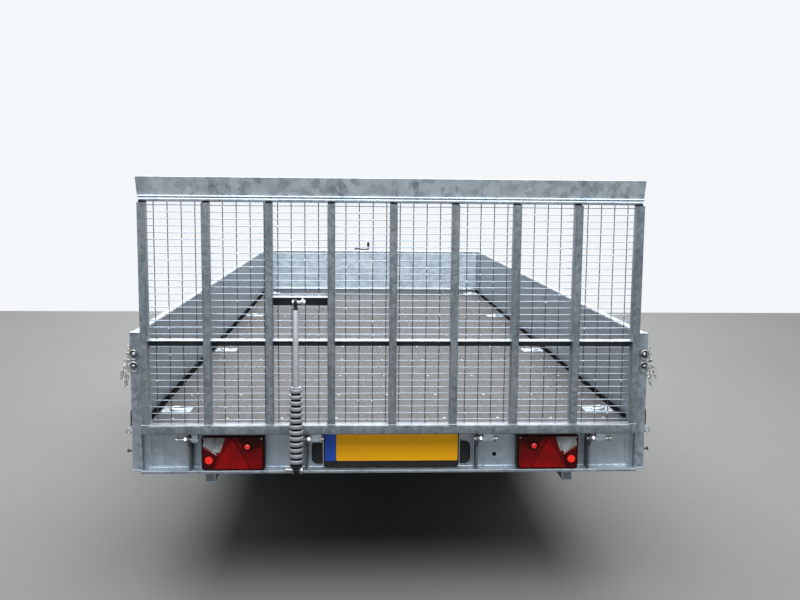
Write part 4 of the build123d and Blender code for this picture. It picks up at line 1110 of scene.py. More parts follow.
def build_latches(sizes):
    """Linch pins with hanging chains, and the rings, hooks and bolts outside the posts."""
    piece = Piece("ramp_latch_pins")
    draw = random.Random(5)
    back, sag = POST_LOW.y, 0.62
    for side in (-1, 1):
        middle, edge = side * (POST_HIGH.x - 0.018), side * POST_HIGH.x
        for z, radius, shift in ((DECK_TOP + 0.281, 0.013, 0.002),
                                 (DECK_TOP + 0.235, 0.010, 0.004)):
            at = along((middle + side * shift, back, z), BACK)
            piece.lathe([(radius + 0.001, 0), (radius + 0.002, 0.001), (radius + 0.001, 0.0025),
                         (radius * 0.6, 0.003)], "iron", at, 22)
            # painted highlight: the pins' heads get the lighter copy of the zinc
            piece.lathe([(radius * 0.4, 0), (radius * 0.52, 0.001), (radius * 0.56, 0.008),
                         (radius * 0.46, 0.0115), (radius * 0.25, 0.0132), (0, 0.0135)],
                        "zinc_painted_light", at, 22)
            piece.rod([at @ Vector((radius * 0.9, -radius, 0.005)),
                       at @ Vector((-radius * 0.7, radius * 1.05, 0.006))], 0.0032, "iron", 8)
            piece.hoop([(middle + side * (0.004 + 0.016 * math.cos(a)),
                         back - 0.007 - 0.003 * math.sin(a), z - 0.004 + 0.019 * math.sin(a))
                        for a in angles(18)], 0.0019, "plated", 7)
        for strand, (bulge, drop, start) in enumerate(((0.036, 0.110, 0.318),
                                                       (0.022, 0.130, 0.310),
                                                       (0.030, 0.080, 0.292),
                                                       (0.015, 0.095, 0.270))):
            links = sizes.chain_links - 2 * strand
            path = []
            for t in (k / links for k in range(links + 1)):
                swing = math.sin(math.pi * t)
                fall = 2 * swing if t < 0.5 else 2 * swing * 0.8 + 0.4 * (t - 0.5)
                path.append((edge + side * (0.003 + bulge * swing + draw.uniform(-0.002, 0.002)),
                             back + 0.004 + 0.018 * t + draw.uniform(-0.003, 0.003),
                             DECK_TOP + start - drop * fall * sag - 0.01 * t))
            piece.chain(path, 0.0135, 0.0015)
        outward, bolt_y, loop_z = (side, 0, 0), back + 0.017, DECK_TOP - 0.024
        piece.lathe([(0.0042, 0), (0.0042, 0.008), (0, 0.008)], "zinc",
                    along((edge, bolt_y, loop_z), outward), 14)
        piece.hoop([(edge + side * 0.0160 + 0.0095 * math.cos(a), bolt_y,
                     loop_z + 0.0095 * math.sin(a)) for a in angles(20)], 0.0024, "zinc", 8)
        # painted shade: the lower bolt outside the post gets the dark copy of the zinc
        piece.lathe([(0.0075, 0), (0.0075, 0.0025), (0.0036, 0.003), (0.0036, 0.0165),
                     (0.0072, 0.017), (0.0072, 0.0215), (0.006, 0.0225), (0, 0.0225)],
                    "zinc_painted_shade", along((edge, bolt_y, DECK_TOP - 0.100), outward), 16)
        piece.rod(smooth_path([(edge + side * 0.003, back + 0.010, DECK_TOP + 0.060),
                               (edge + side * 0.004, back + 0.008, DECK_TOP + 0.035),
                               (edge + side * 0.004, back + 0.008, DECK_TOP + 0.012),
                               (edge + side * 0.006, back + 0.014, DECK_TOP - 0.002)]),
                  0.0026, "slot", 8)
    piece.put("chassis", "ramp_latches", slot="zinc_plate")


# --- Bed ------------------------------------------------------------------------------------


def rows_of(name):
    """First Y of each group of a node's vertices that stand well apart."""
    rows = []
    for y in sorted({round(v.co.y, 2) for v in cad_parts[name].data.vertices}):
        if not rows or y - rows[-1] > ROW_GAP:
            rows.append(y)
    return rows


def lashing_rows():
    """Middle Y of each lashing point, found from the node's own corners."""
    ys = [v.co.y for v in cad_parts["lashing_points"].data.vertices]
    groups = [[y for y in ys if abs(y - start) < ROW_GAP] for start in rows_of("lashing_points")]
    return [(min(group) + max(group)) / 2 for group in groups]


def build_lashing_points():
    """Dished plates with a ring laid in each and a bolt at each corner."""
    piece = Piece("lashing_rings")
    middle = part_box("lashing_points")[1].x - 0.060
    for x, y in ((side * middle, y) for side in (-1, 1) for y in lashing_rows()):
        at = spot(x, y, DECK_TOP - 0.0065)
        piece.prism(round_box(0.120, 0.100, 0.010), 0, 0.0078, "zinc", at, 0.0012)
        # painted light: the dish under the ring gets the lighter copy of the zinc
        piece.lathe([(0.0405, 0.0077), (0.0395, 0.0092), (0.0375, 0.0090), (0.030, 0.0080),
                     (0, 0.0079)], "zinc_painted_light", at, 24)
        piece.hoop([at @ Vector((0.031 * math.cos(a) if math.cos(a) > -0.7 else -0.0225,
                                 0.031 * math.sin(a), 0.0112)) for a in angles(28)],
                   0.0036, "plated", 9)
        piece.box((-0.033, -0.012, 0.006), (-0.015, 0.012, 0.0145), "plated", 0.003, at)
        for dx, dy in ((0.050, 0.038), (0.050, -0.038), (-0.050, 0.038), (-0.050, -0.038)):
            piece.dome(0.006, 0.0022, "plated", at @ spot(dx, dy, 0.0073), 14, 3)
    piece.put("chassis", "lashing_points", slot="zinc_plate")


def build_bed_details():
    """Deck screws, black strips of painted shade along the sides, rolled tops, rivets and corner
    seams.
    """
    piece = Piece("bed_fasteners")
    screw_gap = 0.215
    for y in rows_of("crossmembers"):
        for k in range(-4, 5):
            piece.lathe([(0.0052, -0.001), (0.0052, 0.0004), (0.0042, 0.0009), (0.0018, 0.0009),
                         (0.0014, -0.0004), (0, -0.0004)], "plated",
                        spot(k * screw_gap, y + 0.02, DECK_TOP), 12)
    piece.put("chassis", slot="zinc_plate")

    piece = Piece("side_painted_shade_strips")
    # painted shade: a black strip along each side of the deck stands for the shaded gap between the
    # boards and the wall
    for side in (-1, 1):
        x0, x1 = sorted(side * (BED_HIGH.x - inset) for inset in (0.055, 0.0235))
        piece.box((x0, BED_LOW.y + 0.004, DECK_TOP - 0.004),
                  (x1, BED_HIGH.y - 0.004, DECK_TOP + 0.0012), "slot", 0.0006)
    piece.put("chassis", slot="galvanised_steel")

    piece = Piece("wall_trims")
    start, span = BED_LOW.y, BED_HIGH.y - BED_LOW.y
    rim_z, head = HEAD_HIGH.z - 0.0065, HEAD_HIGH.x
    roll = round_box(0.029, 0.020, 0.006)
    for side in (-1, 1):
        piece.prism(roll, 0, span - 0.004, "zinc",
                    axes((side * (BED_HIGH.x - 0.0125), start + 0.002, rim_z), RIGHT, AHEAD), 0.001)
        for y in (start + 0.02 + (span - 0.04) * k / 8 for k in range(9)):
            for z in (DECK_TOP + 0.060, HEAD_HIGH.z - 0.050):
                piece.dome(0.006, 0.0028, "plated",
                           along((side * BED_HIGH.x, y, z), (side, 0, 0)), 12, 3)
        for k in range(3):
            piece.dome(0.0045, 0.002, "plated",
                       along((side * (BED_HIGH.x - 0.0255), start + span * (0.16 + 0.34 * k),
                              DECK_TOP + 0.20), (-side, 0, 0)), 12, 3)
    # painted highlight: the headboard's rolled top gets the lighter copy of the zinc
    piece.prism(roll, 0, 2 * head - 0.002, "zinc_painted_highlight",
                across(-head + 0.001, HEAD_LOW.y + 0.0125, rim_z), 0.001)
    # painted light: the strip at the headboard's foot gets the lighter copy of the zinc
    piece.prism(round_box(0.012, 0.016, 0.005), 0, 2 * head - 0.052, "zinc_painted_light",
                across(-head + 0.026, HEAD_LOW.y - 0.004, DECK_TOP + 0.009), 0.001)
    for k in range(5):
        piece.dome(0.006, 0.0028, "plated",
                   along((-head + 0.03 + (2 * head - 0.06) * k / 4, HEAD_HIGH.y, DECK_TOP + 0.05),
                         AHEAD), 12, 3)
    piece.put("chassis", slot="galvanised_steel")


def build_marker_lamps():
    """Amber side markers on black bases."""
    piece = Piece("side_marker_lamps")
    z = middle_of(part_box("marker_lamps")).z
    for side, y in ((side, y) for side in (-1, 1) for y in rows_of("marker_lamps")):
        at = axes((side * BED_HIGH.x, y + 0.05, z), AHEAD, (side, 0, 0))
        piece.prism(round_box(0.100, 0.040, 0.010), 0, 0.006, "plastic", at, 0.0012)
        piece.prism(round_box(0.088, 0.029, 0.009), 0.005, 0.0135, "amber", at, 0.003)
        for dx in (-0.046, 0.046):
            piece.dome(0.0025, 0.0015, "plated", at @ spot(dx, 0, 0.006), 10, 2)
    piece.put("chassis", "marker_lamps", slot="amber_lens")


# --- Running gear ---------------------------------------------------------------------------

BEAD = 0.166  # radius of the tyre's bead
RIM_HALF = 0.0775  # half the width of the rim
DISC_X = 0.030  # how far outboard the wheel's disc stands
DISC_SHEET = 0.004


def polar(radius, angle, z=0.0):
    """Point round local Z."""
    return radius * math.cos(angle), radius * math.sin(angle), z


def tyre_profile(radius, half):
    """Section of the tyre as (radius, place along the axle), bead to bead."""
    tread = half - 0.026
    flank = [(BEAD, -RIM_HALF + 0.002), (BEAD + 0.012, -RIM_HALF + 0.001),
             (BEAD + 0.018, -RIM_HALF - 0.004), (BEAD + 0.032, -half + 0.006),
             (BEAD + 0.048, -half + 0.0006), (BEAD + 0.060, -half + 0.0016),
             (radius - 0.022, -half + 0.008), (radius - 0.012, -half + 0.0145)]
    crown = [(-tread - 0.006, 0.006), (-tread, 0.0026)]
    for groove in (-0.046, -0.0155, 0.0155, 0.046):
        crown += [(groove - 0.0042, 0), (groove - 0.0034, 0.0075), (groove + 0.0034, 0.0075),
                  (groove + 0.0042, 0)]
    crown += [(tread, 0.0026), (tread + 0.006, 0.006)]
    profile = list(flank)
    for x, drop in crown:
        curve = 0.0026 * (abs(x) / tread) ** 2.4 if abs(x) <= tread else 0
        profile.append((radius - max(drop, curve), x))
    return profile + [(r, -x) for r, x in reversed(flank)]


def build_tyre(sizes):
    """Tyre with its grooved tread, blocks, sipes and flank rings."""
    low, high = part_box("tyre_front_right")
    radius, half = (high.z - low.z) / 2, (high.x - low.x) / 2
    count = sizes.tread_pitches * 4
    rib_edge, shoulder_depth, rib_depth = 0.047, 0.0175, 0.004
    tyre = Piece("tyre_shape")
    rings = []
    for r, x in tyre_profile(radius, half):
        shoulder = r > radius - shoulder_depth and abs(x) > rib_edge
        rib = r > radius - rib_depth and abs(x) <= rib_edge
        skew = 0.05 * x / half if shoulder else 0.35 * x
        cuts = [0.0048 * shoulder + (0.0018 if rib and i % 8 == 0 else 0) if i % 4 == 0 else 0
                for i in range(count)]
        rings.append(tyre.ring([polar(r - cut, math.tau * i / count + skew, x)
                                for i, cut in enumerate(cuts)]))
    tyre.skin(rings, tyre.index("tyre"), closed=True)
    for flank in (-1, 1):
        for r, size, inset in ((BEAD + 0.022, 0.0012, 0.013), (BEAD + 0.070, 0.0014, 0.0035)):
            tyre.hoop([polar(r, a, flank * (half - inset)) for a in angles(72)], size, "tyre", 5)
    return tyre


def dish(radius):
    """Place of the disc's face along the axle, at a radius."""
    section = ((0.0, 0.0), (0.036, 0.0), (0.050, 0.001), (0.070, 0.0015), (0.084, 0.006),
               (0.100, 0.012), (0.116, 0.014), (0.134, 0.008), (0.147, -0.004), (0.1475, -0.012))
    for (r0, z0), (r1, z1) in zip(section, section[1:]):
        if radius <= r1:
            return DISC_X + z0 + (z1 - z0) * ((radius - r0) / (r1 - r0))
    return DISC_X + section[-1][1]


def build_rim(sizes):
    """Wheel rim with its dished disc, vent holes, bolts and valve."""
    rim = Piece("rim_shape")
    edge = RIM_HALF
    rim.lathe([(0.160, -edge - 0.003), (0.175, -edge - 0.0045), (0.176, -edge - 0.002),
               (0.1655, -edge + 0.001), (0.1645, -edge + 0.018), (0.150, -edge + 0.030),
               (0.148, edge - 0.060), (0.1635, edge - 0.040), (0.1645, edge - 0.010),
               (0.1655, edge - 0.001), (0.176, edge + 0.002), (0.175, edge + 0.0045),
               (0.168, edge + 0.0045), (0.1615, edge - 0.004), (0.160, edge - 0.040),
               (0.1455, edge - 0.058), (0.1455, -edge + 0.032), (0.1605, -edge + 0.018)],
              "silver", HERE, 64, closed=True)
    vents, vent_middle, vent_radius, vent_turn = 10, 0.120, 0.0125, 0.14
    inner, outer = 0.098, 0.140
    sector = math.tau / vents
    # The edge of one vent's share of the disc: radius, and share of the sector.
    quarters = [k / 4 for k in range(4)]
    boundary = [(inner, -0.5 + t) for t in quarters]
    boundary += [(inner + (outer - inner) * t, 0.5) for t in quarters]
    boundary += [(outer, 0.5 - t) for t in quarters]
    boundary += [(outer - (outer - inner) * t, -0.5) for t in quarters]
    for k in range(vents):
        middle = (k + 0.5) * sector
        outside, hole = [], []
        for r, share in boundary:
            outside.append((r, middle + share * sector))
            away, aside = r - vent_middle, share * sector * vent_middle
            length = math.hypot(away, aside)
            hole.append((vent_middle + away / length * vent_radius,
                         middle + aside / length * vent_turn))
        lips = []
        for drop in (0, -DISC_SHEET):
            outside_ring, lip = (rim.ring([polar(r, a, dish(r) + drop) for r, a in edge_points])
                                 for edge_points in (outside, hole))
            rim.ring_faces(outside_ring, lip, rim.index("silver"))
            lips.append(lip)
        rim.ring_faces(*lips, rim.index("silver"))
    for radii, inset in (((0.0325, 0.036, 0.050, 0.070, 0.084, 0.098), 0),
                         ((0.140, 0.144, 0.147, 0.1475), 0.003)):
        face = [(r, dish(r)) for r in radii]
        rim.lathe(face + [(r - inset, z - DISC_SHEET) for r, z in reversed(face)], "silver", HERE,
                  40, closed=True)
    bolt_circle = 0.056
    for angle in angles(sizes.wheel_bolts):
        seat = spot(*polar(bolt_circle, angle, DISC_X + 0.0008))
        rim.lathe([(0.0135, 0), (0.0125, 0.002), (0.010, 0.003), (0, 0.003)], "silver", seat, 18)
        rim.nut(seat @ spot(0, 0, 0.0024), 0.017, 0.013, stud=0.001)
    rim.rod(smooth_path([(0.138, 0, DISC_X + 0.006), (0.141, 0, DISC_X + 0.020),
                         (0.140, 0, DISC_X + 0.034)]), 0.003, "plastic", 8)
    rim.lathe([(0.0042, 0), (0.0042, 0.008), (0.0034, 0.010), (0, 0.010)], "plastic",
              spot(0.140, 0, DISC_X + 0.032), 10)
    return rim


def build_hub():
    """Brake drum with its cooling ribs, and the hub's cap."""
    hub = Piece("hub_shape")
    drum, back, face = 0.105, DISC_X - 0.058, DISC_X - 0.0045
    hub.lathe([(0.0176, back), (drum - 0.006, back), (drum, back + 0.002), (drum, back + 0.014),
               (drum - 0.004, back + 0.017), (drum - 0.004, DISC_X - 0.012), (drum - 0.010, face),
               (0.033, face), (0.032, DISC_X + 0.012), (0.0305, DISC_X + 0.014),
               (0.0305, DISC_X + 0.028), (0.028, DISC_X + 0.033), (0.022, DISC_X + 0.036),
               (0.0, DISC_X + 0.0365)], ["drum"] * 8 + ["plated"] * 5, HERE, 48)
    for angle in angles(24):
        hub.box((drum - 0.006, -0.0015, back + 0.020), (drum - 0.001, 0.0015, DISC_X - 0.014),
                "drum", 0.0006, Matrix.Rotation(angle, 4, "Z"))
    return hub


def build_wheels(sizes):
    """The four wheels, all from one tyre, one rim and one hub."""
    shapes = []
    for node_name, name, slot, piece in (("tyre", "tyre_tread", "tyre_rubber", build_tyre(sizes)),
                                         ("rim", "wheel_disc", "rim_silver", build_rim(sizes)),
                                         ("hub_drum", "wheel_hub", "cast_iron", build_hub())):
        bmesh.ops.remove_doubles(piece.mesh, verts=piece.mesh.verts, dist=1e-6)
        shapes.append((node_name, name, slot, piece.shape(34)))
    for axle, (side_name, side) in ((axle, item) for axle in AXLES for item in SIDES.items()):
        where = f"{axle}_{side_name}"
        place = axes(middle_of(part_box(f"tyre_{where}")), AHEAD, (side, 0, 0))
        for node_name, name, slot, data in shapes:
            made = show(f"{name}_{where}", data)
            made.matrix_world = place
            settle(made, f"wheel_{where}", (f"{node_name}_{where}",), slot)


def build_axle_details():
    """U-bolts over the springs, their nuts, and the pins' nuts."""
    piece = Piece("axle_bolts")
    centres = [middle_of(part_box(f"axle_{axle}")) for axle in AXLES]
    for (_, y, z), side in ((centre, side) for centre in centres for side in (-1, 1)):
        rail = side * RAIL_X
        for dy in (-0.040, 0.040):
            for x in (rail - 0.030, rail + 0.030):
                piece.rod([(x, y + dy, z - 0.030), (x, y + dy, z + 0.078)], 0.005, "plated", 8)
                piece.nut(along((x, y + dy, z - 0.030), DOWN), 0.017, 0.009)
            piece.rod([(rail + dx, y + dy, z + dz) for dx, dz in (
                (-0.030, 0.074), (-0.026, 0.079), (0.026, 0.079), (0.030, 0.074))], 0.005,
                      "plated", 8)
        piece.box((rail - 0.042, y - 0.052, z - 0.031), (rail + 0.042, y + 0.052, z - 0.0252),
                  "zinc_dull", 0.0015)
    front, rear = (centre.y for centre in centres)
    group, eye_z = (front + rear) / 2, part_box("leaf_springs")[1].z - 0.015
    inside = (front - rear) / 2 - EYE_REACH
    # Cross pins of the hangers and then of the rockers: Y, Z and half length.
    hangers = ((rear - EYE_REACH, eye_z, 0.034), (front + EYE_REACH, eye_z, 0.034),
               (group, eye_z + 0.062, 0.042))
    rockers = ((group - inside, eye_z, 0.032), (group + inside, eye_z, 0.032))
    for pins in (hangers, rockers):
        for x, (y, z, reach) in ((side * RAIL_X, pin) for side in (-1, 1) for pin in pins):
            for end in (-1, 1):
                piece.nut(along((x + end * reach, y, z), (end, 0, 0)), 0.019, 0.007)
    piece.put("chassis", slot="zinc_plate")


# --- Drawbar and coupling -------------------------------------------------------------------


def build_coupling_head(shaft_z, ball_y, ball_z):
    """Cast head that narrows from the shaft to its ball cup."""
    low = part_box("coupling_head")[0]
    piece = Piece("coupling_casting")
    sections = []
    for t in (k / 12 for k in range(13)):
        y = low.y + (ball_y - 0.012 - low.y) * t
        ease, swell = t * t * (3 - 2 * t), math.sin(math.pi * t)
        top = shaft_z + 0.037 + (ball_z + 0.041 - shaft_z - 0.037) * ease
        bottom = shaft_z - 0.037 + (ball_z - 0.0195 - shaft_z + 0.037) * min(1.0, ease * 1.5)
        outline = round_box(0.076 - 0.010 * swell + 0.002 * ease, top - bottom,
                            0.014 + 0.004 * swell, 4, (0, (top + bottom) / 2))
        sections.append(piece.ring([(x, y, z) for x, z in outline]))
    piece.skin(sections, piece.index("coupling"))
    at = spot(0, ball_y, ball_z)
    piece.lathe([(0.0252, -0.0195), (0.040, -0.0195), (0.0418, -0.016), (0.042, 0.0),
                 (0.0405, 0.018), (0.036, 0.030), (0.027, 0.038), (0.012, 0.0415), (0, 0.042)],
                "coupling", at, 36)
    piece.lathe([(0.0252, -0.0195), (0.0252, 0.0), (0.0235, 0.009), (0.0178, 0.0178),
                 (0.009, 0.0235), (0, 0.0252)], "plated", at, 36)
    for side in (-1, 1):
        for y in (low.y + 0.020, low.y + 0.050):
            piece.nut(along((side * 0.0365, y, shaft_z), (side, 0, 0)), 0.018, 0.008, stud=0.003)
    piece.put("chassis", "coupling_head", slot="coupling_black")


def build_coupling():
    """Cast coupling head, its handle, the bellows, and the lever's grip."""
    shaft_z = middle_of(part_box("coupling_shaft")).z
    ball_y, ball_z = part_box("coupling_head")[1].y - 0.042, shaft_z - 0.026
    build_coupling_head(shaft_z, ball_y, ball_z)

    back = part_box("coupling_handle")[0].y
    piece = Piece("coupling_lever")
    path = smooth_path([(0, y, ball_z + z) for y, z in (
        (ball_y + 0.006, 0.046), (ball_y + 0.006, 0.060), (ball_y - 0.045, 0.078),
        (back + 0.085, 0.105), (back + 0.045, 0.106), (back + 0.004, 0.106))], 5)
    slim = 12  # points on the handle's slimmer end
    piece.rod(path, [0.014] * (len(path) - slim) + [0.0128] * slim, "coupling", 14, squash=0.62)
    piece.rod([p for p in path if p.y < back + 0.075], 0.0138, "grip_red", 14, squash=0.66)
    piece.box((-0.013, ball_y - 0.036, ball_z + 0.030), (0.013, ball_y + 0.012, ball_z + 0.052),
              "coupling", 0.004)
    piece.lathe([(0.006, -0.030), (0.006, 0.003), (0.004, 0.005), (0, 0.005)], "plated",
                along((0.0125, ball_y - 0.020, ball_z + 0.048), RIGHT), 14)
    piece.put("chassis", "coupling_handle", slot="coupling_black")

    low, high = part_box("shaft_gaiter")
    piece = Piece("shaft_bellows")
    folds, length = 7, high.y - low.y
    steps = folds * 6
    waves = [0.5 - 0.5 * math.cos(math.tau * folds * i / steps) for i in range(steps + 1)]
    profile = [(0.031 + 0.0105 * wave ** 0.8, length * i / steps) for i, wave in enumerate(waves)]
    piece.lathe([(0.0255, 0), *profile, (0.0255, length)], "gaiter",
                axes((0, low.y, shaft_z), RIGHT, AHEAD), 36)
    piece.put("chassis", "shaft_gaiter", slot="gaiter_rubber")

    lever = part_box("parking_brake_lever")
    piece = Piece("brake_lever_grip")
    tip = Vector((middle_of(lever).x, lever[0].y + 0.008, lever[1].z - 0.010))
    slope = Vector((0, 0.246, -0.246)).normalized()
    piece.rod([tip + slope * d for d in (-0.006, 0.0, 0.006, 0.05, 0.10, 0.112)],
              [0.006, 0.012, 0.0145, 0.0155, 0.0145, 0.012], "grip_red", 16)
    for k in range(8):
        piece.lathe([(0.0150, 0), (0.0162, 0.001), (0.0162, 0.004), (0.0150, 0.005)], "grip_red",
                    along(tip + slope * (0.018 + 0.011 * k), slope), 18)
    piece.put("chassis", slot="black_plastic")


def build_drawbar_details():
    """Bolts through the drawbar's plates and housing, with seams at its joints."""
    piece = Piece("drawbar_bolts")
    low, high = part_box("drawbar")
    beam_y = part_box("front_beam")[0].y
    for side in (-1, 1):
        for back in (0.24, 0.18, 0.07, 0.02):
            piece.nut(along((side * 0.112, high.y - back, high.z - 0.040), (side, 0, 0)), 0.022,
                      0.010, stud=0.004)
        for dx, dy in ((dx, dy) for dy in (0.025, 0.060) for dx in (-0.018, 0.018)):
            piece.nut(along((side * RAIL_X + dx, low.y + dy, low.z), DOWN), 0.019, 0.008)
        piece.weld((side * 0.515, beam_y, high.z - 0.001), (side * 0.575, beam_y, high.z - 0.001),
                   0.003, "zinc_dull", 3)
    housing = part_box("overrun_housing")
    for x in (-0.035, 0.035):
        for y in (housing[0].y + 0.030, housing[1].y - 0.030):
            piece.nut(along((x, y, housing[1].z), UP), 0.017, 0.008)
    piece.lathe([(0.027, 0), (0.034, 0), (0.034, 0.004), (0.027, 0.004)], "plated",
                axes((0, housing[1].y, middle_of(housing).z), RIGHT, AHEAD), 28, closed=True)
    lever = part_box("parking_brake_lever")
    piece.nut(along((lever[1].x, lever[1].y - 0.040, lever[0].z + 0.022), RIGHT), 0.024, 0.010)
    piece.put("chassis", slot="zinc_plate")


def build_jockey():
    """Cranked handle, clamp bar, fork nuts and a spoked roller."""
    low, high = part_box("jockey_outer_tube")
    x, y, _ = middle_of(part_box("jockey_inner_tube"))
    grip_height = 0.075
    reach = high.x - x - 0.012
    length = high.z - grip_height - 0.032 - low.z
    crank_z = low.z + length + 0.032
    piece = Piece("jockey_column")
    piece.lathe([(0.0205, 0), (0.0235, 0), (0.024, 0.001), (0.024, length),
                 (0.0275, length + 0.001), (0.0275, length + 0.010), (0.024, length + 0.014),
                 (0.012, length + 0.016), (0.009, length + 0.017), (0.009, length + 0.024),
                 (0, length + 0.026)], ["zinc"] * 4 + ["plastic"] * 6, spot(x, y, low.z), 32)
    piece.rod(smooth_path([(x + dx, y, crank_z + dz) for dx, dz in (
        (0, -0.014), (0, 0.006), (0.014, 0.009), (reach * 0.55, 0), (reach - 0.010, 0.001),
        (reach, 0.012), (reach, grip_height - 0.006))], 5), 0.0062, "plastic", 12)
    piece.lathe([(0, 0), (0.012, 0.001), (0.014, 0.004), (0.012, 0.010), (0, 0.012)], "plastic",
                spot(x, y, crank_z + 0.002), 18)
    tall = grip_height - 0.021
    piece.lathe([(0.006, 0), (0.0105, 0.001), (0.0125, 0.010), (0.0122, tall - 0.012),
                 (0.0098, tall - 0.002), (0, tall)], "plastic",
                spot(x + reach, y, crank_z + 0.020), 18)
    piece.put("chassis", "jockey_outer_tube", slot="galvanised_steel")

    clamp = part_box("jockey_clamp")
    out, z = clamp[0].x, middle_of(clamp).z
    piece = Piece("jockey_clamp_bar")
    piece.rod([(out + 0.002, y, z), (out - 0.018, y, z)], 0.008, "plated", 12)
    ends = [(out - 0.016, y - 0.040, z + 0.010), (out - 0.016, y + 0.040, z - 0.010)]
    piece.rod(ends, 0.0055, "plated", 10)
    for end in ends:
        piece.ball(spot(*end), "plastic", 2, 0.009)
    piece.put("chassis", slot="zinc_plate")

    low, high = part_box("jockey_wheel")
    centre, radius, half = (low + high) / 2, (high.z - low.z) / 2, (high.x - low.x) / 2
    at, wide = axes(centre, AHEAD, RIGHT), half - 0.003
    piece = Piece("jockey_roller_wheel")
    piece.lathe([(0.070, -wide), (0.088, -wide), (0.094, -wide + 0.005),
                 (radius - 0.001, -wide + 0.013), (radius, -wide + 0.020), (radius, wide - 0.020),
                 (radius - 0.001, wide - 0.013), (0.094, wide - 0.005), (0.088, wide),
                 (0.070, wide), (0.068, wide - 0.006), (0.068, -wide + 0.006)],
                ["silver"] + ["roller"] * 8 + ["silver"] * 3, at, 48, closed=True)
    for inner, outer, reach, count in ((0.0085, 0.024, half, 24), (0.022, 0.069, 0.004, 40)):
        piece.lathe([(inner, -reach), (outer, -reach), (outer, reach), (inner, reach)], "silver",
                    at, count, closed=True)
    for angle in angles(6):
        piece.box((0.022, -0.003, -0.018), (0.069, 0.003, 0.018), "silver", 0.0015,
                  at @ Matrix.Rotation(angle, 4, "Z"))
    piece.put("jockey_roller", "jockey_wheel", slot="roller_rubber")

    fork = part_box("jockey_fork")
    piece = Piece("jockey_axle_nuts")
    for side, edge in ((-1, fork[0].x + 0.006), (1, fork[1].x - 0.006)):
        piece.nut(along((edge, centre.y, centre.z), (side, 0, 0)), 0.017, 0.007)
    piece.put("jockey_caster", slot="zinc_plate")


def build_prop_stands():
    """Square feet and pin nuts of the folding prop stands."""
    pins = Piece("prop_stand_pins")
    for name in SIDES:
        low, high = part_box(f"prop_stand_{name}")
        x, _, z = (low + high) / 2
        piece = Piece(f"prop_stand_foot_{name}")
        at = axes((x, low.y - 0.0005, z), RIGHT, AHEAD)
        piece.prism(round_box(0.042, 0.042, 0.006), 0, 0.050, "zinc_beam", at, 0.0015)
        piece.prism(round_box(0.034, 0.034, 0.004), -0.0006, 0.001, "zinc_frame", at, 0.0003)
        # painted highlight: a rod in the lighter copy of the zinc across the foot
        piece.rod([(x - 0.020, low.y, z - 0.0195), (x + 0.020, low.y, z - 0.0195)], 0.0018,
                  "zinc_painted_highlight", 8)
        piece.put(f"prop_stand_{name}", slot="galvanised_steel")
        for end in (-1, 1):
            pins.nut(along((x + end * 0.036, high.y - 0.022, z), (end, 0, 0)), 0.019, 0.007)
    pins.put("chassis", slot="zinc_plate")


# --- Stage ----------------------------------------------------------------------------------


def build_stage():
    """Camera, floor, lamps and world."""
    scene = bpy.context.scene
    stage = scene.trailer_stage
    camera = show("camera", bpy.data.cameras.new("camera"))
    camera.location = stage.camera_place
    camera.rotation_euler = stage.camera_turn
    camera.data.lens = stage.lens
    camera.data.clip_end = 200
    scene.camera = camera

    floor_radius, lamp_height = 45, 5.2
    mesh = bmesh.new()
    bmesh.ops.create_circle(mesh, cap_ends=True, segments=96, radius=floor_radius)
    data = bpy.data.meshes.new("studio_floor")
    mesh.to_mesh(data)
    mesh.free()
    data.materials.append(FINISHES["floor"])
    show("studio_floor", data)

    for name, y, width, length, power in (("ceiling_lamp", -0.6, 7.0, 17.0, stage.ceiling),
                                          ("far_lamp", 7.6, 17.0, 4.0, stage.far_ceiling)):
        light = bpy.data.lights.new(name, "AREA")
        light.shape = "RECTANGLE"
        light.size, light.size_y = width, length
        light.energy = power
        show(name, light).location = (0, y, lamp_height)

    world = bpy.data.worlds.new("studio")
    world.use_nodes = True
    tree = world.node_tree
    soft = tree.nodes["Background"]
    soft.inputs["Color"].default_value = (0.97, 0.985, 1.0, 1.0)
    soft.inputs["Strength"].default_value = stage.daylight
    shown = node(tree, "Background", Color=rgba(stage.backdrop), Strength=1.0)
    both = node(tree, "MixShader", i0=seen_rays(tree), i1=soft.outputs[0], i2=shown.outputs[0])
    plug(tree, both.outputs[0], tree.nodes["World Output"].inputs["Surface"])
    scene.world = world
    scene.view_settings.view_transform = "Standard"


# --- Operators ------------------------------------------------------------------------------


class TRAILER_OT_finishes(bpy.types.Operator):
    """Make every finish and give it to the plain parts"""
    bl_idname = "trailer.finishes"
    bl_label = "Finishes"

    def execute(self, context):
        build_finishes()
        return {"FINISHED"}


class TRAILER_OT_stage(bpy.types.Operator):
    """Set the camera, the floor and the light"""
    bl_idname = "trailer.stage"
    bl_label = "Stage"

    def execute(self, context):
        build_stage()
        return {"FINISHED"}


class TRAILER_OT_ramp(bpy.types.Operator):
    """Build the ramp's wires, frame, lip and hinge bolts"""
    bl_idname = "trailer.ramp"
    bl_label = "Loading Ramp"

    def execute(self, context):
        sizes = context.scene.trailer_sizes
        build_ramp_mesh(sizes)
        build_ramp_frame(sizes)
        build_ramp_lip()
        build_ramp_fittings()
        return {"FINISHED"}


class TRAILER_OT_assist(bpy.types.Operator):
    """Build the strut that helps to lift the ramp"""
    bl_idname = "trailer.assist"
    bl_label = "Assist Strut"

    def execute(self, context):
        build_assist(context.scene.trailer_sizes)
        return {"FINISHED"}


class TRAILER_OT_lamps(bpy.types.Operator):
    """Build the tail lamps and the side markers"""
    bl_idname = "trailer.lamps"
    bl_label = "Lamps"

    def execute(self, context):
        build_tail_lamps()
        build_marker_lamps()
        return {"FINISHED"}


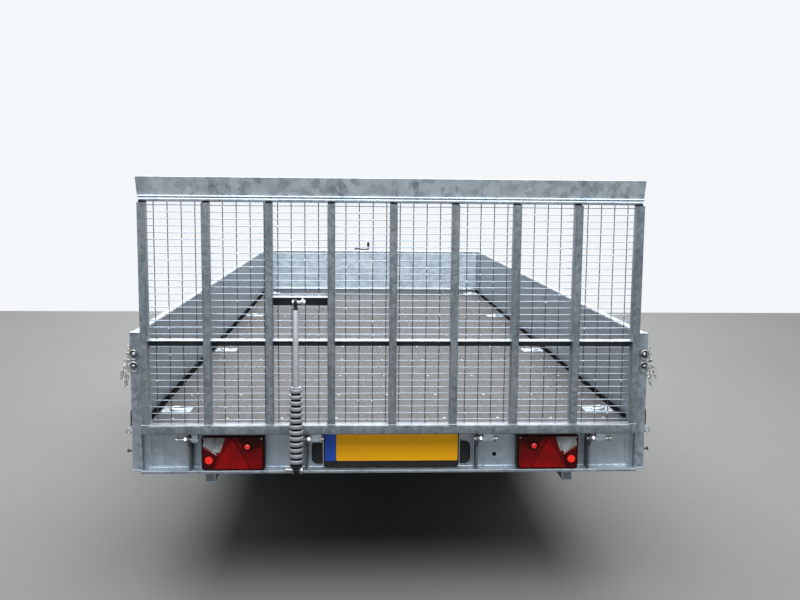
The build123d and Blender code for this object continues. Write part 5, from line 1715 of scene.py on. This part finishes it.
class TRAILER_OT_plate(bpy.types.Operator):
    """Build the plate and its holder"""
    bl_idname = "trailer.plate"
    bl_label = "Number Plate"

    def execute(self, context):
        build_plate()
        return {"FINISHED"}


class TRAILER_OT_rear(bpy.types.Operator):
    """Build the rear beam's details and the ramp's latches"""
    bl_idname = "trailer.rear"
    bl_label = "Rear End"

    def execute(self, context):
        build_beam_details()
        build_latches(context.scene.trailer_sizes)
        return {"FINISHED"}


class TRAILER_OT_bed(bpy.types.Operator):
    """Build the bed's lashing points, fasteners and trims"""
    bl_idname = "trailer.bed"
    bl_label = "Bed"

    def execute(self, context):
        build_lashing_points()
        build_bed_details()
        return {"FINISHED"}


class TRAILER_OT_wheels(bpy.types.Operator):
    """Build the wheels and the axle's bolts"""
    bl_idname = "trailer.wheels"
    bl_label = "Wheels"

    def execute(self, context):
        build_wheels(context.scene.trailer_sizes)
        build_axle_details()
        return {"FINISHED"}


class TRAILER_OT_drawbar(bpy.types.Operator):
    """Build the drawbar's bolts and the coupling"""
    bl_idname = "trailer.drawbar"
    bl_label = "Drawbar"

    def execute(self, context):
        build_drawbar_details()
        build_coupling()
        return {"FINISHED"}


class TRAILER_OT_supports(bpy.types.Operator):
    """Build the jockey wheel and the prop stands' details"""
    bl_idname = "trailer.supports"
    bl_label = "Jockey Wheel and Stands"

    def execute(self, context):
        build_jockey()
        build_prop_stands()
        return {"FINISHED"}


OPERATORS = (TRAILER_OT_finishes, TRAILER_OT_stage, TRAILER_OT_ramp, TRAILER_OT_assist,
             TRAILER_OT_lamps, TRAILER_OT_plate, TRAILER_OT_rear, TRAILER_OT_bed,
             TRAILER_OT_wheels, TRAILER_OT_drawbar, TRAILER_OT_supports)
GROUPS = {"trailer_stage": TrailerStage, "trailer_finishes": TrailerFinishes,
          "trailer_sizes": TrailerSizes}


class TRAILER_PT_panel(bpy.types.Panel):
    """Sizes, colours and pieces of the trailer"""
    bl_idname = "TRAILER_PT_panel"
    bl_label = "Trailer"
    bl_space_type = "VIEW_3D"
    bl_region_type = "UI"
    bl_category = "Trailer"

    def draw(self, context):
        layout = self.layout
        for name in reversed(GROUPS):
            group = getattr(context.scene, name)
            box = layout.box()
            for key in group.__annotations__:
                box.prop(group, key)
        for made in OPERATORS:
            layout.operator(made.bl_idname)


def register():
    """Register the classes and their settings."""
    for made in (*GROUPS.values(), *OPERATORS, TRAILER_PT_panel):
        bpy.utils.register_class(made)
    for name, group in GROUPS.items():
        setattr(bpy.types.Scene, name, PointerProperty(type=group))


def unregister():
    """Undo register."""
    for name in GROUPS:
        delattr(bpy.types.Scene, name)
    for made in (TRAILER_PT_panel, *reversed(OPERATORS), *reversed(GROUPS.values())):
        bpy.utils.unregister_class(made)


def main():
    register()
    for made in OPERATORS:
        group, name = made.bl_idname.split(".")
        getattr(getattr(bpy.ops, group), name)()


if __name__ == "__main__":
    main()
